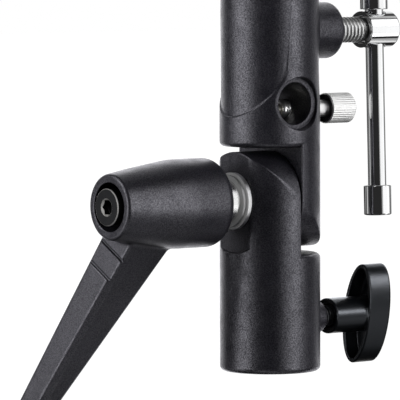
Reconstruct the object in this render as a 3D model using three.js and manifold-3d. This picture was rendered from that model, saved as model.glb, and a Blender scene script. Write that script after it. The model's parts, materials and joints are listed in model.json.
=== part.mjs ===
// Swivel bracket that joins a light stand, an umbrella and a small flash.
// Two round castings meet at a tilt joint that a ratchet lever clamps.
// Lengths are in millimetres, +Z is up, and the origin is the centre of the lower socket's mouth.
// The tilt axis runs along X: the lever is on the -X side, the three clamp screws on the +X side.
import * as THREE from 'three';
import { mergeVertices } from 'three/addons/utils/BufferGeometryUtils.js';
import Module from 'manifold-3d';

// Clearances, cutting overrun and facet counts
const lapGap = 0.3;
const seatGap = 0.1;
const threadGap = 0.15;
const boreGap = 0.25;
const restGap = 0.4;
const smallRound = 0.4;
const softRound = 0.55;
const overrun = 2;
const weldTolerance = 0.0001;
const wideSteps = 40;
const narrowSteps = 24;
const tinySteps = 16;
const roundingSteps = 3;

// Castings and tilt joint; rises and drops are heights above and below the tilt axis
const bodyRadius = 13.5;
const pivotHeight = 46;
const topRise = 60;
const shoulderGap = 0.85;
const ceilingGap = 0.8;
const tongueTrim = 0.45;
const edgeRound = 1.4;
const rimRound = 0.8;
const neckTaper = 0.3;
const flareFoot = 6.7;
const flareLength = 16;
const shoulderDrop = bodyRadius + shoulderGap;
const ceilingRise = bodyRadius + ceilingGap;
const tongueReach = bodyRadius - tongueTrim;
const neckRadius = bodyRadius - neckTaper;

// Stepped skin on the lever side of the upper casting
const recessSink = 0.42;
const recessMargin = 1;
const recessFoot = 8.1;
const recessSpread = 0.6;

// Flat that the lever's washers bear on
const spotSink = 1.45;
const spotMargin = 0.4;
const spotDepth = bodyRadius - spotSink;

// Umbrella hole
const umbrellaFoot = 11.6;
const umbrellaRadius = 5.55;
const umbrellaLip = 7;
const umbrellaSink = 2;
const umbrellaChamfer = 0.5;
const umbrellaRise = ceilingRise + umbrellaFoot;

// Stand socket, upper socket and the stud that stands in it
const socketRadius = 8.1;
const socketRoof = 3.15;
const socketWeb = 1.55;
const mouthChamfer = 0.6;
const spigotFoot = 4.2;
const spigotTaper = 1.3;
const spigotWaistSink = 1.55;
const spigotCollar = 3.6;
const spigotNeckRadius = 3.55;
const spigotNeckLength = 1.6;
const spigotThreadRadius = 4.4;
const spigotThreadLength = 6.4;
const upperSocketFloor = umbrellaRise + umbrellaRadius + socketWeb;

// Pivot bolt
const boltRadius = 4;
const boltHeadFlats = 13;
const boltHeadThickness = 5;
const boltHeadInset = 2.8;
const boltTipGap = 0.5;
const hexClearance = 0.3;

// Washers and the lever's steel core, placed along -X from the flat outwards
const washerGap = 0.3;
const flatWasherRadius = 7.6;
const flatWasherThickness = 1.3;
const thrustWasherRadius = 6.9;
const thrustWasherThickness = 1;
const coreWall = 1.9;
const collarLength = 18.45;
const coreTeeth = 20;
const toothStep = 0.15;
const toothDepth = 0.75;
const toothLength = 3.6;
const toothGap = 0.2;
const toothInset = 0.4;
const flatWasherStart = spotDepth + seatGap;
const flatWasherEnd = flatWasherStart + flatWasherThickness;
const thrustWasherStart = flatWasherEnd + seatGap;
const thrustWasherEnd = thrustWasherStart + thrustWasherThickness;
const coreStart = thrustWasherEnd + seatGap;
const toothStart = coreStart + collarLength;
const coreEnd = toothStart + toothLength;
const coreRadius = boltRadius + coreWall;
const toothTip = coreRadius - toothStep;
const toothRoot = toothTip - toothDepth;
const boltEnd = toothStart - boltTipGap;

// Lever hub
const collarShown = 5.85;
const hubLength = 33.5;
const hubRadius = 11.8;
const hubRound = 2.6;
const hubBarrel = 13.5;
const hubNose = 7;
const hubNoseRadius = 9.85;
const hubEndRadius = 8.6;
const hubEndRound = 0.5;
const ledgeThickness = 3.8;
const hubStart = coreStart + collarShown;
const hubEnd = hubStart + hubLength;
const ledgeStart = coreEnd + boltTipGap;
const springSeat = ledgeStart + ledgeThickness;

// Screw that holds the lever on its core, and the spring below its head
const retainerHeadRadius = 4.9;
const retainerHeadThickness = 3;
const retainerProud = 0.8;
const retainerShank = 2.5;
const retainerHex = 3.7;
const retainerHexDepth = 2;
const retainerRound = 0.4;
const retainerWellGap = 1.5;
const springInset = 0.6;
const springWire = 0.45;
const springTurns = 6;
const springGap = 0.35;
const retainerEnd = hubEnd + retainerProud;
const retainerSeat = retainerEnd - retainerHeadThickness;
const springRadius = retainerHeadRadius - springInset;

// Lever arm; a reach is measured down the arm from the tilt axis
const leverSwing = THREE.MathUtils.degToRad(30);
const armLength = 77;
const armSink = 7.8;
const armPadLength = 8.6;
const armSet = 25.7;
const armLean = 14.63;
const armRootThickness = 16;
const armTipThickness = 3.68;
const armRootHalfWidth = 6.2;
const armTipHalfWidth = 4.12;
const armChamfer = 1.4;
const armPadChamfer = 0.35;
const armInnerChamfer = 0.7;
const armTipRound = 1.2;
const groovePitch = 6.5;
const grooveWidth = 0.7;
const grooveDepth = 0.55;
const armPadReach = hubRadius + armPadLength;

// Clamp screw with its sliding bar
const clampDrop = 15;
const clampBossRadius = 7.6;
const clampBossReach = 7;
const clampBossRound = 1.4;
const clampThread = 3.5;
const clampShown = 11.45;
const clampHeadLength = 10.35;
const clampHeadRadius = 5;
const clampHeadRound = 0.7;
const clampHeadWeb = 0.4;
const barSet = 4.9;
const barRadius = 2.65;
const barLean = THREE.MathUtils.degToRad(-1.7);
const barCapRadius = 4;
const barCapLength = 8.25;
const barCapRound = 0.6;
const barCapWall = 2;
const barBetweenCaps = 47.95;
const clampRise = topRise - clampDrop;
const clampBossEnd = bodyRadius + clampBossReach;
const clampHeadStart = clampBossEnd + clampShown;
const clampHeadEnd = clampHeadStart + clampHeadLength;
const barReach = clampHeadStart + barSet;
const clampStudEnd = barReach - barRadius - boreGap - clampHeadWeb;
const barTopStart = clampHeadRadius + restGap;
const barBottomStart = barTopStart - barBetweenCaps;
const capBoreDepth = barCapLength - barCapWall;

// Umbrella thumb screw
const thumbDrop = 2;
const thumbThread = 2.5;
const thumbIntrusion = 4.1;
const thumbShown = 5.3;
const thumbHeadLength = 8.8;
const thumbHeadRadius = 4.15;
const thumbKnurls = 24;
const thumbKnurlDepth = 0.3;
const thumbChamfer = 0.7;
const thumbCupDepth = 0.8;
const thumbStudSink = 5;
const thumbRise = umbrellaRise - thumbDrop;
const thumbTipReach = umbrellaRadius - thumbIntrusion;
const thumbHeadStart = bodyRadius + thumbShown;
const thumbHeadEnd = thumbHeadStart + thumbHeadLength;
const thumbStudEnd = thumbHeadStart + thumbStudSink;

// Stand knob, a hollow oval wing on a round hub
const knobHeight = 13.4;
const knobTurn = THREE.MathUtils.degToRad(10.5);
const knobBossReach = 3.2;
const knobBossRoot = 4.9;
const knobBossTip = 4.3;
const knobThread = 3;
const knobShown = 2.9;
const knobHubLength = 10.8;
const knobHubRadius = 4.85;
const knobHubFlare = 1;
const knobWingDepth = 7.85;
const knobWingHalfLength = 13.85;
const knobWingHalfWidth = 5.55;
const knobWingRound = 1.1;
const knobRim = 1.3;
const knobHollow = 4.4;
const knobStudSink = 8;
const knobCupDepth = 0.7;
const knobDrop = pivotHeight - knobHeight;
const knobBossEnd = bodyRadius + knobBossReach;
const knobHubStart = knobBossEnd + knobShown;
const knobStudEnd = knobHubStart + knobStudSink;
const knobWingStart = knobHubStart + knobHubLength;
const knobWingEnd = knobWingStart + knobWingDepth;

// Soft tips that the three screws carry on their ends, clear of the sockets when backed off
const padThickness = 1.5;
const padInset = 0.8;
const padStemRadius = 1.1;
const padStemLength = 2.6;
const backedOffReach = socketRadius + restGap;

const wasm = await Module();
wasm.setup();

const paint = new THREE.MeshStandardMaterial({ color: 0x2a2a2d, roughness: 0.62, metalness: 0.15 });
const leverPaint = new THREE.MeshStandardMaterial({ color: 0x2e2e31, roughness: 0.55, metalness: 0.15 });
const plastic = new THREE.MeshStandardMaterial({ color: 0x131416, roughness: 0.38, metalness: 0 });
const blackSteel = new THREE.MeshStandardMaterial({ color: 0x25262a, roughness: 0.4, metalness: 0.8 });
const steel = new THREE.MeshStandardMaterial({ color: 0xb4b4b6, roughness: 0.34, metalness: 1 });
const chrome = new THREE.MeshStandardMaterial({ color: 0xd4d6d9, roughness: 0.08, metalness: 1 });
const brass = new THREE.MeshStandardMaterial({ color: 0xb89a52, roughness: 0.35, metalness: 1 });

// A cyclic swap of axes: local X, Y, Z become Y, Z, X
const swapOnce = new THREE.Matrix4().makeBasis(
  new THREE.Vector3(0, 1, 0),
  new THREE.Vector3(0, 0, 1),
  new THREE.Vector3(1, 0, 0),
);
// The same swap made twice: local X, Y, Z become Z, X, Y
const swapTwice = swapOnce.clone().multiply(swapOnce);

function solidOf(geometry) {
  const bare = new THREE.BufferGeometry();
  bare.setAttribute('position', geometry.getAttribute('position'));
  bare.setIndex(geometry.getIndex());
  const welded = mergeVertices(bare, weldTolerance);
  const corners = welded.getIndex().array;
  const kept = [];
  for (let i = 0; i < corners.length; i += 3) {
    const [a, b, c] = corners.slice(i, i + 3);
    if (a !== b && b !== c && c !== a) {
      kept.push(a, b, c);
    }
  }
  const mesh = new wasm.Mesh({
    numProp: 3,
    vertProperties: new Float32Array(welded.getAttribute('position').array),
    triVerts: new Uint32Array(kept),
  });
  return new wasm.Manifold(mesh);
}

function geometryOf(solid) {
  const mesh = solid.getMesh();
  const geometry = new THREE.BufferGeometry();
  geometry.setAttribute('position', new THREE.BufferAttribute(mesh.vertProperties, 3));
  geometry.setIndex(new THREE.BufferAttribute(mesh.triVerts, 1));
  geometry.computeVertexNormals();
  return geometry;
}

function fuse(first, ...others) {
  return others.reduce((sum, other) => sum.add(other), first);
}

function cut(first, ...tools) {
  return tools.reduce((rest, tool) => rest.subtract(tool), first);
}

// Corners are [x, y] or [x, y, rounding radius]; an open outline keeps its two ends sharp,
// and a rounding smaller than a soft one is a single bevel
function roundedOutline(corners, closed) {
  const points = [];
  corners.forEach(([x, y, round = 0], i) => {
    const here = new THREE.Vector2(x, y);
    const isEnd = !closed && (i === 0 || i === corners.length - 1);
    if (round === 0 || isEnd) {
      points.push(here);
      return;
    }
    const last = corners[(i + corners.length - 1) % corners.length];
    const next = corners[(i + 1) % corners.length];
    const back = new THREE.Vector2(last[0], last[1]).sub(here).normalize();
    const ahead = new THREE.Vector2(next[0], next[1]).sub(here).normalize();
    const half = back.angleTo(ahead) / 2;
    const middle = back.clone().add(ahead).normalize();
    const centre = here.clone().addScaledVector(middle, round / Math.sin(half));
    const start = here.clone().addScaledVector(back, round / Math.tan(half));
    const turn = Math.sign(ahead.cross(back)) * (Math.PI - 2 * half);
    const steps = round < softRound ? 1 : roundingSteps;
    for (let k = 0; k <= steps; k += 1) {
      points.push(start.clone().rotateAround(centre, (turn * k) / steps));
    }
  });
  return points;
}

// A solid of revolution about the x or z axis from [place along the axis, radius, rounding] corners
function turned(corners, axis, steps = wideSteps) {
  const onAxis = corners[0][1] === 0;
  const outline = roundedOutline(corners, !onAxis).map((p) => new THREE.Vector2(p.y, p.x));
  if (THREE.ShapeUtils.area(outline) < 0) {
    outline.reverse();
  }
  if (!onAxis) {
    outline.push(outline[0].clone());
  }
  const geometry = new THREE.LatheGeometry(outline, steps);
  geometry.applyMatrix4(axis === 'z' ? swapOnce : swapTwice);
  return solidOf(geometry);
}

// A plain cylinder along the x or z axis
function rod(from, to, radius, axis, steps = narrowSteps) {
  return turned([[from, 0], [from, radius], [to, radius], [to, 0]], axis, steps);
}

// A washer about the x axis, with its outer edges broken
function washer(from, to, inner, outer) {
  const corners = [[from, inner], [to, inner], [to, outer, smallRound], [from, outer, smallRound]];
  return turned(corners, 'x', narrowSteps);
}

// An extrusion along x from an outline in Y and Z, or along y from an outline in Z and X
function prism(shape, from, to, axis, steps = narrowSteps) {
  const geometry = new THREE.ExtrudeGeometry(shape, {
    depth: to - from,
    bevelEnabled: false,
    curveSegments: steps,
  });
  geometry.translate(0, 0, from);
  geometry.applyMatrix4(axis === 'x' ? swapOnce : swapTwice);
  return solidOf(geometry);
}

function regularShape(sides, radius) {
  const points = [];
  for (let i = 0; i < sides; i += 1) {
    const angle = (2 * Math.PI * i) / sides;
    points.push(new THREE.Vector2(radius * Math.cos(angle), radius * Math.sin(angle)));
  }
  return new THREE.Shape(points);
}

function hexShape(flats) {
  return regularShape(6, flats / 2 / Math.cos(Math.PI / 6));
}

function toothedShape(count, root, tip) {
  const points = [];
  for (let i = 0; i < 2 * count; i += 1) {
    const angle = (Math.PI * i) / count;
    const radius = i % 2 === 0 ? tip : root;
    points.push(new THREE.Vector2(radius * Math.cos(angle), radius * Math.sin(angle)));
  }
  return new THREE.Shape(points);
}

// A closed skin through rings of points, each ring with as many points as the next
function loft(rings) {
  const count = rings[0].length;
  const positions = rings.flat().flatMap((p) => [p.x, p.y, p.z]);
  const index = [];
  for (let k = 0; k + 1 < rings.length; k += 1) {
    for (let i = 0; i < count; i += 1) {
      const a = k * count + i;
      const b = k * count + ((i + 1) % count);
      index.push(a, b, b + count, a, b + count, a + count);
    }
  }
  const lastStart = (rings.length - 1) * count;
  for (let i = 1; i + 1 < count; i += 1) {
    index.push(0, i + 1, i);
    index.push(lastStart, lastStart + i, lastStart + i + 1);
  }
  const geometry = new THREE.BufferGeometry();
  geometry.setAttribute('position', new THREE.Float32BufferAttribute(positions, 3));
  geometry.setIndex(index);
  return solidOf(geometry);
}

// The half that a tongue keeps: a plate with an elliptical end, from its root past the tilt axis
function tongueBlank(rootRise, direction, from, to) {
  const shape = new THREE.Shape();
  const side = bodyRadius + overrun;
  shape.moveTo(-side, rootRise);
  shape.lineTo(side, rootRise);
  shape.lineTo(side, 0);
  shape.lineTo(bodyRadius, 0);
  const start = 0;
  const end = Math.PI;
  shape.absellipse(0, 0, bodyRadius, tongueReach, start, direction > 0 ? end : -end, direction < 0);
  shape.lineTo(-side, 0);
  return prism(shape, from, to, 'x');
}

function makeLowerBody() {
  const bottom = -pivotHeight;
  const shoulder = -shoulderDrop;
  const root = shoulder - 2 * edgeRound;
  const barrel = turned(
    [[bottom, 0], [bottom, bodyRadius, edgeRound], [shoulder, bodyRadius, edgeRound], [shoulder, 0]],
    'z',
  );
  const column = rod(root, bodyRadius, bodyRadius, 'z', wideSteps);
  const blank = tongueBlank(root - overrun, 1, -bodyRadius - overrun, -lapGap / 2);
  const boss = turned(
    [
      [socketRadius, 0],
      [socketRadius, knobBossRoot],
      [knobBossEnd, knobBossTip, smallRound],
      [knobBossEnd, 0],
    ],
    'x',
    narrowSteps,
  ).translate([0, 0, -knobDrop]);
  const socketTop = shoulder - socketRoof;
  const wide = socketRadius + mouthChamfer;
  const socket = turned(
    [
      [bottom - overrun, 0],
      [bottom - overrun, wide + overrun],
      [bottom + mouthChamfer, socketRadius],
      [socketTop, socketRadius],
      [socketTop, 0],
    ],
    'z',
  );
  const spot = rod(-bodyRadius - overrun, -spotDepth, bodyRadius + spotMargin, 'x', wideSteps);
  const boltBore = rod(-bodyRadius, overrun, boltRadius + boreGap, 'x');
  const knobBore = rod(0, knobBossEnd + overrun, knobThread + threadGap, 'x').translate([0, 0, -knobDrop]);
  const casting = fuse(barrel, column.intersect(blank), boss);
  return cut(casting, socket, spot, boltBore, knobBore);
}

// The upper casting narrows a little above the umbrella hole, along a smooth curve
function flareCorners() {
  const corners = [];
  const count = 4;
  for (let i = 0; i <= count; i += 1) {
    const share = i / count;
    const ease = (1 - Math.cos(Math.PI * share)) / 2;
    const rise = ceilingRise + flareFoot + flareLength * share;
    corners.push([rise, bodyRadius + (neckRadius - bodyRadius) * ease]);
  }
  return corners;
}

function makeSkinStep() {
  const top = topRise + overrun;
  const recessRadius = bodyRadius - recessSink;
  const recessArc = bodyRadius - recessMargin;
  const recessRise = ceilingRise + recessFoot + recessArc;
  const shape = new THREE.Shape();
  shape.moveTo(-recessArc - recessSpread, top);
  shape.lineTo(-recessArc, recessRise);
  shape.absarc(0, recessRise, recessArc, Math.PI, 2 * Math.PI, false);
  shape.lineTo(recessArc + recessSpread, top);
  const skin = turned(
    [
      [ceilingRise, recessRadius],
      [top, recessRadius],
      [top, bodyRadius + overrun],
      [ceilingRise, bodyRadius + overrun],
    ],
    'z',
  );
  return skin.intersect(prism(shape, -bodyRadius - 2 * overrun, 0, 'x', wideSteps));
}

function makeUmbrellaCut() {
  const far = bodyRadius + overrun;
  const seat = bodyRadius - umbrellaSink;
  const inner = seat - umbrellaChamfer;
  const lip = umbrellaRadius + umbrellaChamfer;
  const tool = turned(
    [
      [-far, 0],
      [-far, umbrellaLip],
      [-seat, umbrellaLip],
      [-seat, lip],
      [-inner, umbrellaRadius],
      [inner, umbrellaRadius],
      [seat, lip],
      [seat, umbrellaLip],
      [far, umbrellaLip],
      [far, 0],
    ],
    'z',
    wideSteps,
  );
  const quarter = 90;
  return tool.rotate([quarter, 0, 0]).translate([0, 0, umbrellaRise]);
}

function makeUpperBody() {
  const barrel = turned(
    [
      [ceilingRise, 0],
      [ceilingRise, bodyRadius, edgeRound],
      ...flareCorners(),
      [topRise, neckRadius, rimRound],
      [topRise, 0],
    ],
    'z',
  );
  const root = ceilingRise + 2 * edgeRound;
  const column = rod(-bodyRadius, root, bodyRadius, 'z', wideSteps);
  const blank = tongueBlank(root + overrun, -1, lapGap / 2, bodyRadius + overrun);
  const boss = turned(
    [
      [socketRadius, 0],
      [socketRadius, clampBossRadius],
      [clampBossEnd, clampBossRadius, clampBossRound],
      [clampBossEnd, 0],
    ],
    'x',
    wideSteps,
  ).translate([0, 0, clampRise]);
  const wide = socketRadius + mouthChamfer;
  const socket = turned(
    [
      [upperSocketFloor, 0],
      [upperSocketFloor, socketRadius],
      [topRise - mouthChamfer, socketRadius],
      [topRise + overrun, wide + overrun],
      [topRise + overrun, 0],
    ],
    'z',
  );
  const clampBore = rod(0, clampBossEnd + overrun, clampThread + threadGap, 'x').translate([0, 0, clampRise]);
  const thumbBore = rod(0, bodyRadius + overrun, thumbThread + threadGap, 'x').translate([0, 0, thumbRise]);
  const boltBore = rod(-overrun, bodyRadius, boltRadius + boreGap, 'x');
  const pocketFloor = bodyRadius - boltHeadInset - boltHeadThickness - seatGap;
  const pocket = prism(hexShape(boltHeadFlats + hexClearance), pocketFloor, bodyRadius + overrun, 'x');
  const casting = cut(fuse(barrel, column.intersect(blank)), makeSkinStep());
  return cut(fuse(casting, boss), socket, makeUmbrellaCut(), clampBore, thumbBore, boltBore, pocket);
}

function makePivotBolt() {
  const headEnd = bodyRadius - boltHeadInset;
  const headStart = headEnd - boltHeadThickness;
  const corner = boltHeadFlats / 2 / Math.cos(Math.PI / 6);
  const bevel = corner - boltHeadFlats / 2;
  const limit = turned(
    [
      [headStart, 0],
      [headStart, corner + overrun],
      [headEnd - bevel, corner],
      [headEnd, corner - bevel],
      [headEnd, 0],
    ],
    'x',
  );
  const head = prism(hexShape(boltHeadFlats), headStart, headEnd, 'x').intersect(limit);
  return fuse(head, rod(-boltEnd, headStart + overrun, boltRadius, 'x'));
}

function makeFlatWasher() {
  return washer(-flatWasherEnd, -flatWasherStart, boltRadius + washerGap, flatWasherRadius);
}

function makeThrustWasher() {
  return washer(-thrustWasherEnd, -thrustWasherStart, boltRadius + washerGap, thrustWasherRadius);
}

function makeLeverCore() {
  const collar = turned(
    [
      [-toothStart, 0],
      [-toothStart, coreRadius, smallRound],
      [-coreStart, coreRadius, smallRound],
      [-coreStart, 0],
    ],
    'x',
  );
  const teeth = prism(toothedShape(coreTeeth, toothRoot, toothTip), -coreEnd, -toothStart + overrun, 'x');
  const boltBore = rod(-boltEnd - seatGap, 0, boltRadius + threadGap, 'x');
  const screwBore = rod(-coreEnd - overrun, -boltEnd, retainerShank + threadGap, 'x');
  return cut(fuse(collar, teeth), boltBore, screwBore);
}

function makeRetainingScrew() {
  const head = turned(
    [
      [-retainerEnd, 0],
      [-retainerEnd, retainerHeadRadius, retainerRound],
      [-retainerSeat, retainerHeadRadius],
      [-retainerSeat, 0],
    ],
    'x',
  );
  const shank = rod(-retainerSeat - retainerRound, -boltEnd - 2 * seatGap, retainerShank, 'x');
  const hex = prism(hexShape(retainerHex), -retainerEnd - overrun, -retainerEnd + retainerHexDepth, 'x');
  return cut(fuse(head, shank), hex);
}

function makeLeverSpring() {
  const start = -springSeat - springGap - springWire;
  const end = -retainerSeat + springGap + springWire;
  const stepsPerTurn = 8;
  const steps = springTurns * stepsPerTurn;
  const points = [];
  for (let i = 0; i <= steps; i += 1) {
    const angle = (2 * Math.PI * i) / stepsPerTurn;
    const along = start + ((end - start) * i) / steps;
    points.push(new THREE.Vector3(along, springRadius * Math.cos(angle), springRadius * Math.sin(angle)));
  }
  const wireSides = 6;
  const geometry = new THREE.ExtrudeGeometry(regularShape(wireSides, springWire), {
    steps,
    bevelEnabled: false,
    extrudePath: new THREE.CatmullRomCurve3(points),
  });
  return solidOf(geometry);
}

// Place of the arm's outer face along -X at a reach down the arm
function armOuterAt(reach) {
  return hubStart + armSet + (armLean * reach) / armLength;
}

// One section of the arm: an octagon, with its own chamfer on each outer edge and small ones inside
function armSection(reach, nearChamfer, farChamfer, inset = 0) {
  const share = reach / armLength;
  const thickness = armRootThickness + (armTipThickness - armRootThickness) * share;
  const half = armRootHalfWidth + (armTipHalfWidth - armRootHalfWidth) * share - inset;
  const outer = -armOuterAt(reach) + inset;
  const inner = -armOuterAt(reach) + thickness - inset;
  const bevel = Math.min(armInnerChamfer, half / 2);
  const corners = [
    [outer, half - farChamfer],
    [outer + farChamfer, half],
    [inner - bevel, half],
    [inner, half - bevel],
    [inner, bevel - half],
    [inner - bevel, -half],
    [outer + nearChamfer, -half],
    [outer, nearChamfer - half],
  ];
  return corners.map(([x, y]) => new THREE.Vector3(x, y, -reach));
}

function makeArm() {
  const root = hubRadius - armSink;
  const pad = loft([
    armSection(root, armPadChamfer, armChamfer),
    armSection(armPadReach, armPadChamfer, armChamfer),
  ]);
  const blade = loft([
    armSection(root, armChamfer, armChamfer),
    armSection(armLength - armTipRound, armChamfer, armChamfer),
    armSection(armLength, armChamfer / 2, armChamfer / 2, armTipRound / 2),
  ]);
  return fuse(pad, blade);
}

// A shallow slot across the outer face of the arm
function makeGroove(reach) {
  const floor = armOuterAt(reach) - grooveDepth;
  const low = -reach - grooveWidth / 2;
  const high = -reach + grooveWidth / 2;
  const shape = new THREE.Shape();
  shape.moveTo(low, -floor);
  shape.lineTo(low, -floor - overrun);
  shape.lineTo(high, -floor - overrun);
  shape.lineTo(high, -floor);
  return prism(shape, -armRootHalfWidth - overrun, armRootHalfWidth + overrun, 'y');
}

function makeLever() {
  const hub = turned(
    [
      [-hubEnd, 0],
      [-hubEnd, hubEndRadius, hubEndRound],
      [-hubEnd + hubNose, hubNoseRadius],
      [-hubStart - hubBarrel, hubRadius],
      [-hubStart, hubRadius, hubRound],
      [-hubStart, 0],
    ],
    'x',
  );
  const solid = cut(fuse(hub, makeArm()), makeGroove(armPadReach - groovePitch), makeGroove(armPadReach));
  const bore = coreRadius + boreGap;
  const teethFrom = toothStart + toothInset;
  const teethTo = toothStart + toothLength;
  const mouth = rod(-teethFrom, -hubStart + overrun, bore, 'x');
  const relief = rod(-ledgeStart, -teethTo, bore, 'x');
  const teeth = prism(
    toothedShape(coreTeeth, toothRoot + toothGap, toothTip + toothGap),
    -teethTo - seatGap,
    -teethFrom + seatGap,
    'x',
  );
  const screwHole = rod(-springSeat - overrun, -ledgeStart + overrun, retainerShank + boreGap, 'x');
  const well = rod(-hubEnd - overrun, -springSeat, retainerHeadRadius + retainerWellGap, 'x');
  return cut(solid, mouth, relief, teeth, screwHole, well);
}

// A tip that does not turn: a disc, with a stem that the end of the screw holds
function makePad(reach, threadRadius) {
  const back = reach + padThickness;
  const rim = threadRadius - padInset;
  const stemEnd = back + padStemLength;
  return turned(
    [
      [reach, 0],
      [reach, rim, smallRound / 2],
      [back, rim, smallRound / 2],
      [back, padStemRadius],
      [stemEnd, padStemRadius],
      [stemEnd, 0],
    ],
    'x',
    tinySteps,
  );
}

// A threaded stud from behind its tip to its seat in a head or knob
function makeStud(reach, threadRadius, end) {
  const start = reach + padThickness + seatGap;
  const stud = turned(
    [[start, 0], [start, threadRadius, smallRound], [end, threadRadius], [end, 0]],
    'x',
    narrowSteps,
  );
  const stemEnd = start + padStemLength + seatGap;
  return cut(stud, rod(start - overrun, stemEnd, padStemRadius + threadGap, 'x', tinySteps));
}

function makeClampHead() {
  const head = turned(
    [
      [clampHeadStart, 0],
      [clampHeadStart, clampHeadRadius, smallRound],
      [clampHeadEnd, clampHeadRadius, clampHeadRound],
      [clampHeadEnd, 0],
    ],
    'x',
  );
  const seat = rod(clampHeadStart - overrun, clampStudEnd + seatGap, clampThread + threadGap, 'x');
  const across = clampHeadRadius + overrun;
  const barHole = rod(-across, across, barRadius + boreGap, 'z').translate([barReach, 0, 0]);
  return cut(head, seat, barHole);
}

function makeBar() {
  const from = barBottomStart - capBoreDepth + seatGap;
  const to = barTopStart + capBoreDepth - seatGap;
  return rod(from, to, barRadius, 'z').translate([barReach, 0, 0]);
}

// A cap on one end of the bar; the direction is 1 for the upper end and -1 for the lower
function makeBarCap(start, direction) {
  const end = start + direction * barCapLength;
  const low = Math.min(start, end);
  const high = Math.max(start, end);
  const cap = turned(
    [[low, 0], [low, barCapRadius, barCapRound], [high, barCapRadius, barCapRound], [high, 0]],
    'z',
    narrowSteps,
  );
  const mouth = start - direction * overrun;
  const depth = start + direction * capBoreDepth;
  const bore = rod(Math.min(mouth, depth), Math.max(mouth, depth), barRadius + threadGap, 'z');
  return cut(cap, bore).translate([barReach, 0, 0]);
}

function makeThumbHead() {
  const outline = toothedShape(thumbKnurls, thumbHeadRadius - thumbKnurlDepth, thumbHeadRadius);
  const knurled = prism(outline, thumbHeadStart, thumbHeadEnd, 'x');
  const limit = turned(
    [
      [thumbHeadStart, 0],
      [thumbHeadStart, thumbHeadRadius - thumbChamfer / 2],
      [thumbHeadStart + thumbChamfer / 2, thumbHeadRadius],
      [thumbHeadEnd - thumbChamfer, thumbHeadRadius],
      [thumbHeadEnd, thumbHeadRadius - thumbChamfer],
      [thumbHeadEnd, 0],
    ],
    'x',
  );
  const cupEnd = thumbHeadStart + thumbCupDepth;
  const cup = rod(thumbHeadStart - overrun, cupEnd, thumbHeadRadius - thumbChamfer, 'x');
  const seat = rod(thumbHeadStart, thumbStudEnd + seatGap, thumbThread + threadGap, 'x');
  return cut(knurled.intersect(limit), cup, seat);
}

// An oval across X, with its length along Z
function ovalRing(along, inset) {
  const points = [];
  for (let i = 0; i < wideSteps; i += 1) {
    const angle = (2 * Math.PI * i) / wideSteps;
    const y = (knobWingHalfWidth - inset) * Math.cos(angle);
    const z = (knobWingHalfLength - inset) * Math.sin(angle);
    points.push(new THREE.Vector3(along, y, z));
  }
  return points;
}

function makeKnob() {
  const soft = knobWingRound;
  const eased = soft * (1 - Math.SQRT1_2);
  const wing = loft([
    ovalRing(knobWingStart, smallRound),
    ovalRing(knobWingStart + smallRound, 0),
    ovalRing(knobWingEnd - soft, 0),
    ovalRing(knobWingEnd - eased, eased),
    ovalRing(knobWingEnd, soft),
  ]);
  const hollowFloor = knobWingStart + knobHollow;
  const hollow = loft([ovalRing(knobWingStart - overrun, knobRim), ovalRing(hollowFloor, knobRim)]);
  const hub = turned(
    [
      [knobHubStart, 0],
      [knobHubStart, knobHubRadius, smallRound],
      [knobWingStart - knobHubFlare, knobHubRadius],
      [hollowFloor + smallRound, knobWingHalfWidth - knobRim / 2],
      [hollowFloor + smallRound, 0],
    ],
    'x',
  );
  const cup = rod(knobHubStart - overrun, knobHubStart + knobCupDepth, (knobHubRadius + knobThread) / 2, 'x');
  const seat = rod(knobHubStart, knobStudEnd + seatGap, knobThread + threadGap, 'x');
  const clear = rod(knobHubStart, knobWingStart, 2 * knobHubRadius, 'x');
  const trimmed = hub.intersect(fuse(wing, clear));
  return cut(fuse(cut(wing, hollow), trimmed), cup, seat);
}

function makeSpigot() {
  const radius = socketRadius - threadGap;
  const waist = radius - spigotWaistSink;
  const foot = upperSocketFloor + lapGap;
  const waistStart = foot + spigotFoot + spigotTaper;
  const waistEnd = topRise - spigotCollar - spigotTaper;
  const neckEnd = topRise + spigotNeckLength;
  const threadEnd = neckEnd + spigotThreadLength;
  return turned(
    [
      [foot, 0],
      [foot, radius, mouthChamfer],
      [foot + spigotFoot, radius],
      [waistStart, waist],
      [waistEnd, waist],
      [topRise - spigotCollar, radius],
      [topRise, radius, smallRound],
      [topRise, spigotNeckRadius],
      [neckEnd, spigotNeckRadius],
      [neckEnd + smallRound, spigotThreadRadius],
      [threadEnd - smallRound, spigotThreadRadius],
      [threadEnd, spigotThreadRadius - smallRound],
      [threadEnd, 0],
    ],
    'z',
  );
}

function addPiece(group, name, solid, material) {
  const mesh = new THREE.Mesh(geometryOf(solid), material);
  mesh.name = name;
  group.add(mesh);
}

const adapter = new THREE.Group();
const pivot = new THREE.Group();
pivot.position.z = pivotHeight;
adapter.add(pivot);

function addTurnedGroup(rise, turn) {
  const group = new THREE.Group();
  group.position.z = rise;
  group.rotation.x = turn;
  pivot.add(group);
  return group;
}

addPiece(pivot, 'lower_body', makeLowerBody(), paint);
addPiece(pivot, 'upper_body', makeUpperBody(), paint);
addPiece(pivot, 'pivot_bolt', makePivotBolt(), blackSteel);
addPiece(pivot, 'flat_washer', makeFlatWasher(), steel);
addPiece(pivot, 'thrust_washer', makeThrustWasher(), steel);
addPiece(pivot, 'spigot', makeSpigot(), chrome);

const leverGroup = addTurnedGroup(0, leverSwing);
addPiece(leverGroup, 'lever_core', makeLeverCore(), steel);
addPiece(leverGroup, 'retaining_screw', makeRetainingScrew(), blackSteel);
addPiece(leverGroup, 'lever_spring', makeLeverSpring(), steel);
addPiece(leverGroup, 'ratchet_lever', makeLever(), leverPaint);

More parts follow.
